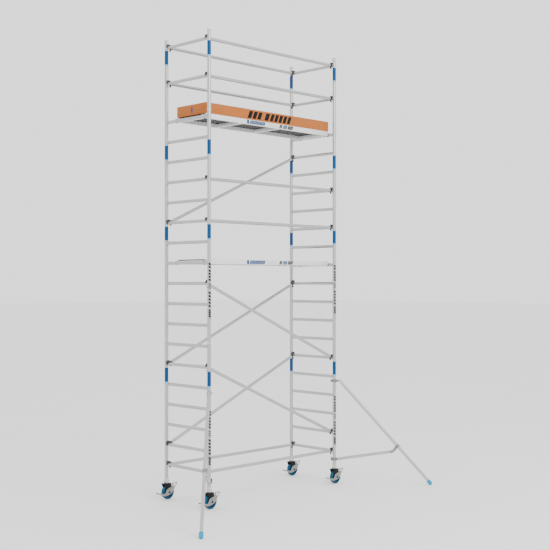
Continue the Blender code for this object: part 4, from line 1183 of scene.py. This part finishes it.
LEVER_Y = -(CHEEK_OUTSIDE + 0.0004 + 0.002)
castor_parts = {
    "castor_leg": (castor_leg(), (0, 0, 0), "zinc_plated_steel"),
    "adjusting_nut": (adjusting_nut(), (0, 0, 0), "cast_aluminium"),
    "castor_fork": (castor_fork(), (0, 0, 0), "black_painted_steel"),
    "castor_wheel": (castor_wheel(), (AXLE_X, 0, WHEEL), "blue_polyurethane"),
    "brake_lever": (brake_lever(), (AXLE_X, LEVER_Y, WHEEL), "zinc_plated_steel"),
}
for face, y_sign in FACES.items():
    for side, x_sign in SIDES.items():
        corner = shift(x_sign * HALF_LENGTH, y_sign * HALF_WIDTH, 0)
        for kind, (meshes, offset, slot) in castor_parts.items():
            name = f"{kind}_{face}_{side}"
            parts = [moved(mesh, corner, shift(*offset)) for mesh in meshes]
            piece(name + "_made", name, [name], slot, parts, 30)
print("castor faces:", sum(len(m.polygons) for made in castor_parts.values() for m in made[0]))

# %% [markdown]
# ## Stabilisers
# Two raking tubes steady the tower. Each hangs from a band clamp on the front stile, is held off by an arm at
# the bottom, and ends in a blue rubber ball. They are drawn along +X from the stile and then swung to
# their heading, so one drawing serves both sides.

# %% Stabiliser parts
UPPER_CLAMP = 1.545
LOWER_CLAMP = 0.367
PIVOT = Vector((0.085, 0, UPPER_CLAMP))
REACH = {"left": 1.59, "right": 1.43}
HEADING = {"left": 225.4, "right": -49.7}
FOOT = 0.030
EAR_X = -0.045
COLLAR_X = 0.945
ARM_END_X = 0.875


def aimed(place, direction):
    """Carries a shape drawn up Z to a place, and turns it along a direction."""
    swing = Vector((0, 0, 1)).rotation_difference(direction)
    return Matrix.Translation(place) @ swing.to_matrix().to_4x4()


def band_clamp(height):
    """A band round the stile, with a bolt through its two ears."""
    half = 0.022
    outer = 0.0345
    band = lathe(COUPLER, [
        (STILE + 0.0006, height - half), (outer - 0.002, height - half), (outer, height - half + 0.002),
        (outer, height - 0.006), (outer - 0.002, height - 0.004), (outer - 0.002, height + 0.004),
        (outer, height + 0.006), (outer, height + half - 0.002), (outer - 0.002, height + half),
        (STILE + 0.0006, height + half)], 48)
    parts = [band]
    for near, far in ((-0.0125, -0.0025), (0.0025, 0.0125)):
        parts.append(slab(COUPLER, (-0.056, near, height - 0.018), (-0.030, far, height + 0.018), 0.002))
    bolt = lathe(ZINC, [(0, -0.012), (0.0042, -0.012), (0.0042, 0.012), (0, 0.012)], 16)
    parts.append(moved(bolt, shift(EAR_X, 0, height), turn(90, "X")))
    head = moved(hex_head(LATCH_BLACK, 0.0075, 0.0012), shift(EAR_X, 0.0124, height), turn(-90, "X"))
    parts += [head, moved(head, turn(180, "X"), shift(0, 0, -2 * height))]
    return parts


def run_of(side):
    """Centre of the ball at the end of a stabiliser's tube, and the tube's direction."""
    ball = Vector((REACH[side], 0, FOOT))
    return ball, (ball - PIVOT).normalized()


def upper_clamp():
    """The band, the tongue that the tube turns on, and their pin."""
    parts = band_clamp(UPPER_CLAMP)
    tongue = plate(COUPLER, [(0.030, -0.0135), (0.080, -0.0135)] + arc((0.0845, 0), 0.0125, -80, 80, 8) +
                   [(0.080, 0.0135), (0.030, 0.0135)], 0.0116, 0.0015)
    parts.append(moved(tongue, shift(0, 0, UPPER_CLAMP)))
    pin = lathe(ZINC, [
        (0, -0.030), (0.0056, -0.030), (0.0059, -0.0295), (0.0059, 0.0295), (0.0056, 0.030),
        (0, 0.030)], 24)
    parts.append(moved(pin, shift(*PIVOT), turn(90, "X")))
    return parts


def raking_tube(side):
    """The tube, with two ears at its top that take the tongue of the clamp between them."""
    ball, run = run_of(side)
    top = PIVOT - run * 0.020
    bottom = ball - run * 0.0146
    body = tube(BRACE_METAL, tuple(top), tuple(bottom), sides=40)
    outline = arc((0, 0.004), 0.0165, 0, 180, 12) + [(-0.0165, -0.034), (0.0165, -0.034)]
    ear = plate(CASTING, outline, 0.0050, 0.001)
    fork = [moved(ear, aimed(PIVOT, -run), shift(0, y, 0)) for y in (-0.0246, 0.0246)]
    joint = lathe(CASTING, [(TUBE - 0.0004, -0.004), (TUBE + 0.0012, -0.003), (TUBE + 0.0012, 0.003),
                            (TUBE - 0.0004, 0.004)], 40)
    return [body] + fork + [moved(joint, aimed(PIVOT + run * 0.3, run))]


def raking_foot(side):
    """A ribbed rubber ball with a collar for the tube."""
    ball = run_of(side)[0]
    tilt = math.atan2(PIVOT.x - REACH[side], UPPER_CLAMP - FOOT)
    section = [
        (0, 0.0125), (TUBE + 0.0005, 0.0125), (TUBE + 0.0005, 0.0505), (0.0238, 0.052), (0.0275, 0.052),
        (0.0290, 0.0505), (0.0290, 0.047), (0.0272, 0.0455), (0.0272, 0.0435), (0.0290, 0.042),
        (0.0290, 0.036), (0.0272, 0.0345), (0.0272, 0.0325), (0.0290, 0.031), (0.0296, 0.020)]
    for degrees in range(12, -90, -9):
        angle = math.radians(degrees)
        section.append((FOOT * math.cos(angle), FOOT * math.sin(angle)))
    section.append((0, -FOOT))
    foot = lathe(FOOT_BLUE, section, 48)
    lie = Matrix.Translation(ball) @ Matrix.Rotation(tilt, 4, "Y")
    return [moved(foot, lie)]


def holding_arm(side):
    """Lower clamp, arm tube, strap and the collar that grips the raking tube."""
    run = run_of(side)[1]
    distance = (COLLAR_X - PIVOT.x) / run.x
    centre = PIVOT + run * distance
    start = Vector((0.036, 0, LOWER_CLAMP))
    end = Vector((ARM_END_X, 0, centre.z - 0.083))
    along = (end - start).normalized()
    parts = band_clamp(LOWER_CLAMP)
    parts.append(slab(COUPLER, (0.030, -0.017, LOWER_CLAMP - 0.019),
                      (0.052, 0.017, LOWER_CLAMP + 0.019), 0.004))
    parts.append(tube(BRACE_METAL, tuple(start + along * 0.012), tuple(end), sides=40))
    plug = lathe(CAP_GREY, [(0, 0), (TUBE - 0.001, 0), (TUBE - 0.001, 0.0008), (0, 0.0012)], 32)
    parts.append(moved(plug, aimed(end, along)))
    lift = Vector((-along.z, 0, along.x)) * 0.014
    root = end - along * 0.040
    corners = [root - lift, end + along * 0.006 - lift, centre + Vector((0.0, 0, -0.029)),
               centre + Vector((-0.029, 0, 0.0)), end + lift, root + lift]
    for y in (-0.0262, 0.0232):
        strap = plate(COUPLER, [(c.x, c.z) for c in corners], 0.003, 0.0006)
        parts.append(moved(strap, shift(0, y + 0.0015, 0)))
    collar = lathe(COUPLER, [
        (TUBE + 0.0008, -0.021), (0.0275, -0.021), (0.029, -0.019), (0.029, -0.006), (0.0275, -0.004),
        (0.0275, 0.004), (0.029, 0.006), (0.029, 0.019), (0.0275, 0.021), (TUBE + 0.0008, 0.021)], 48)
    parts.append(moved(collar, aimed(centre, run)))
    for place in (root + along * 0.012, end - along * 0.004):
        for degrees, y in ((90, -0.0262), (-90, 0.0262)):
            head = hex_head(ZINC, 0.006, 0.0035)
            parts.append(moved(head, shift(place.x, y, place.z), turn(degrees, "X")))
    hub = lathe(LATCH_BLACK, [
        (0, 0), (0.0095, 0), (0.0110, 0.0015), (0.0110, 0.016), (0.009, 0.018), (0, 0.018)], 24)
    parts.append(moved(hub, shift(EAR_X, 0.0130, LOWER_CLAMP), turn(-90, "X")))
    grip = [(-0.009, 0.0), (0.009, 0.0), (0.013, 0.026), (0.008, 0.031), (-0.008, 0.031), (-0.013, 0.026)]
    for degrees in (0, 180):
        wing = plate(LATCH_BLACK, grip, 0.010, 0.003)
        place = shift(EAR_X, 0.0300, LOWER_CLAMP)
        parts.append(moved(wing, place, turn(degrees, "X"), turn(90, "Z")))
    return parts


for side, sign in SIDES.items():
    swing = shift(sign * HALF_LENGTH, -HALF_WIDTH, 0) @ turn(HEADING[side], "Z")
    made = {
        "clamp": (upper_clamp(), "zinc_plated_steel"), "tube": (raking_tube(side), "aluminium"),
        "arm": (holding_arm(side), "aluminium"), "foot": (raking_foot(side), "blue_rubber"),
    }
    for kind, (meshes, slot) in made.items():
        node = f"stabiliser_{kind}_{side}"
        parts = [moved(mesh, swing) for mesh in meshes]
        piece(node + "_made", f"stabiliser_{side}", [node], slot, parts)
left_foot = bpy.data.objects["stabiliser_foot_left_made"].data
print("stabiliser foot lowest point:", round(min(v.co.z for v in left_foot.vertices), 4))

# %% [markdown]
# ## Floor, light and camera
# A plain pale floor under a white sky is how such a product is usually shown. One wide area light gives
# the round tubes a bright side and a soft grey one.

# %% Floor
floor_finish = finish("studio_floor", (0.90, 0.90, 0.90), (0.92, 0.92, 0.92), (0.7, 0.8), 0.0, 0.6)
ground = bpy.data.meshes.new("studio_floor")
SPREAD = 120.0
FLOOR_Z = -0.0005
corners = [(SPREAD * x, SPREAD * y, FLOOR_Z) for x, y in ((-1, -1), (1, -1), (1, 1), (-1, 1))]
ground.from_pydata(corners, [], [(0, 1, 2, 3)])
ground.materials.append(floor_finish)
floor = bpy.data.objects.new("studio_floor", ground)
bpy.context.scene.collection.objects.link(floor)

# %% Light
world = bpy.data.worlds.new("studio")
world.use_nodes = True
world.node_tree.nodes["Background"].inputs["Color"].default_value = (1.0, 1.0, 1.0, 1.0)
world.node_tree.nodes["Background"].inputs["Strength"].default_value = 1.75
bpy.context.scene.world = world

lamp = bpy.data.lights.new("key", "AREA")
lamp.shape = "RECTANGLE"
lamp.size = 5.0
lamp.size_y = 5.0
lamp.energy = 900.0
holder = bpy.data.objects.new("key", lamp)
holder.location = (-2.0, -12.0, 9.0)
aim = Vector((0, 0, 3.0)) - Vector(holder.location)
holder.rotation_euler = aim.to_track_quat("-Z", "Y").to_euler()
bpy.context.scene.collection.objects.link(holder)

# %% Camera
lens = bpy.data.cameras.new("view")
lens.sensor_width = 36.0
lens.lens = 67.2
lens.shift_y = 0.0135
lens.clip_end = 400.0
camera = bpy.data.objects.new("view", lens)
camera.location = (-10.29, -10.77, 3.024)
camera.rotation_euler = (math.radians(90), 0, math.radians(-44.89))
bpy.context.scene.collection.objects.link(camera)
bpy.context.scene.camera = camera
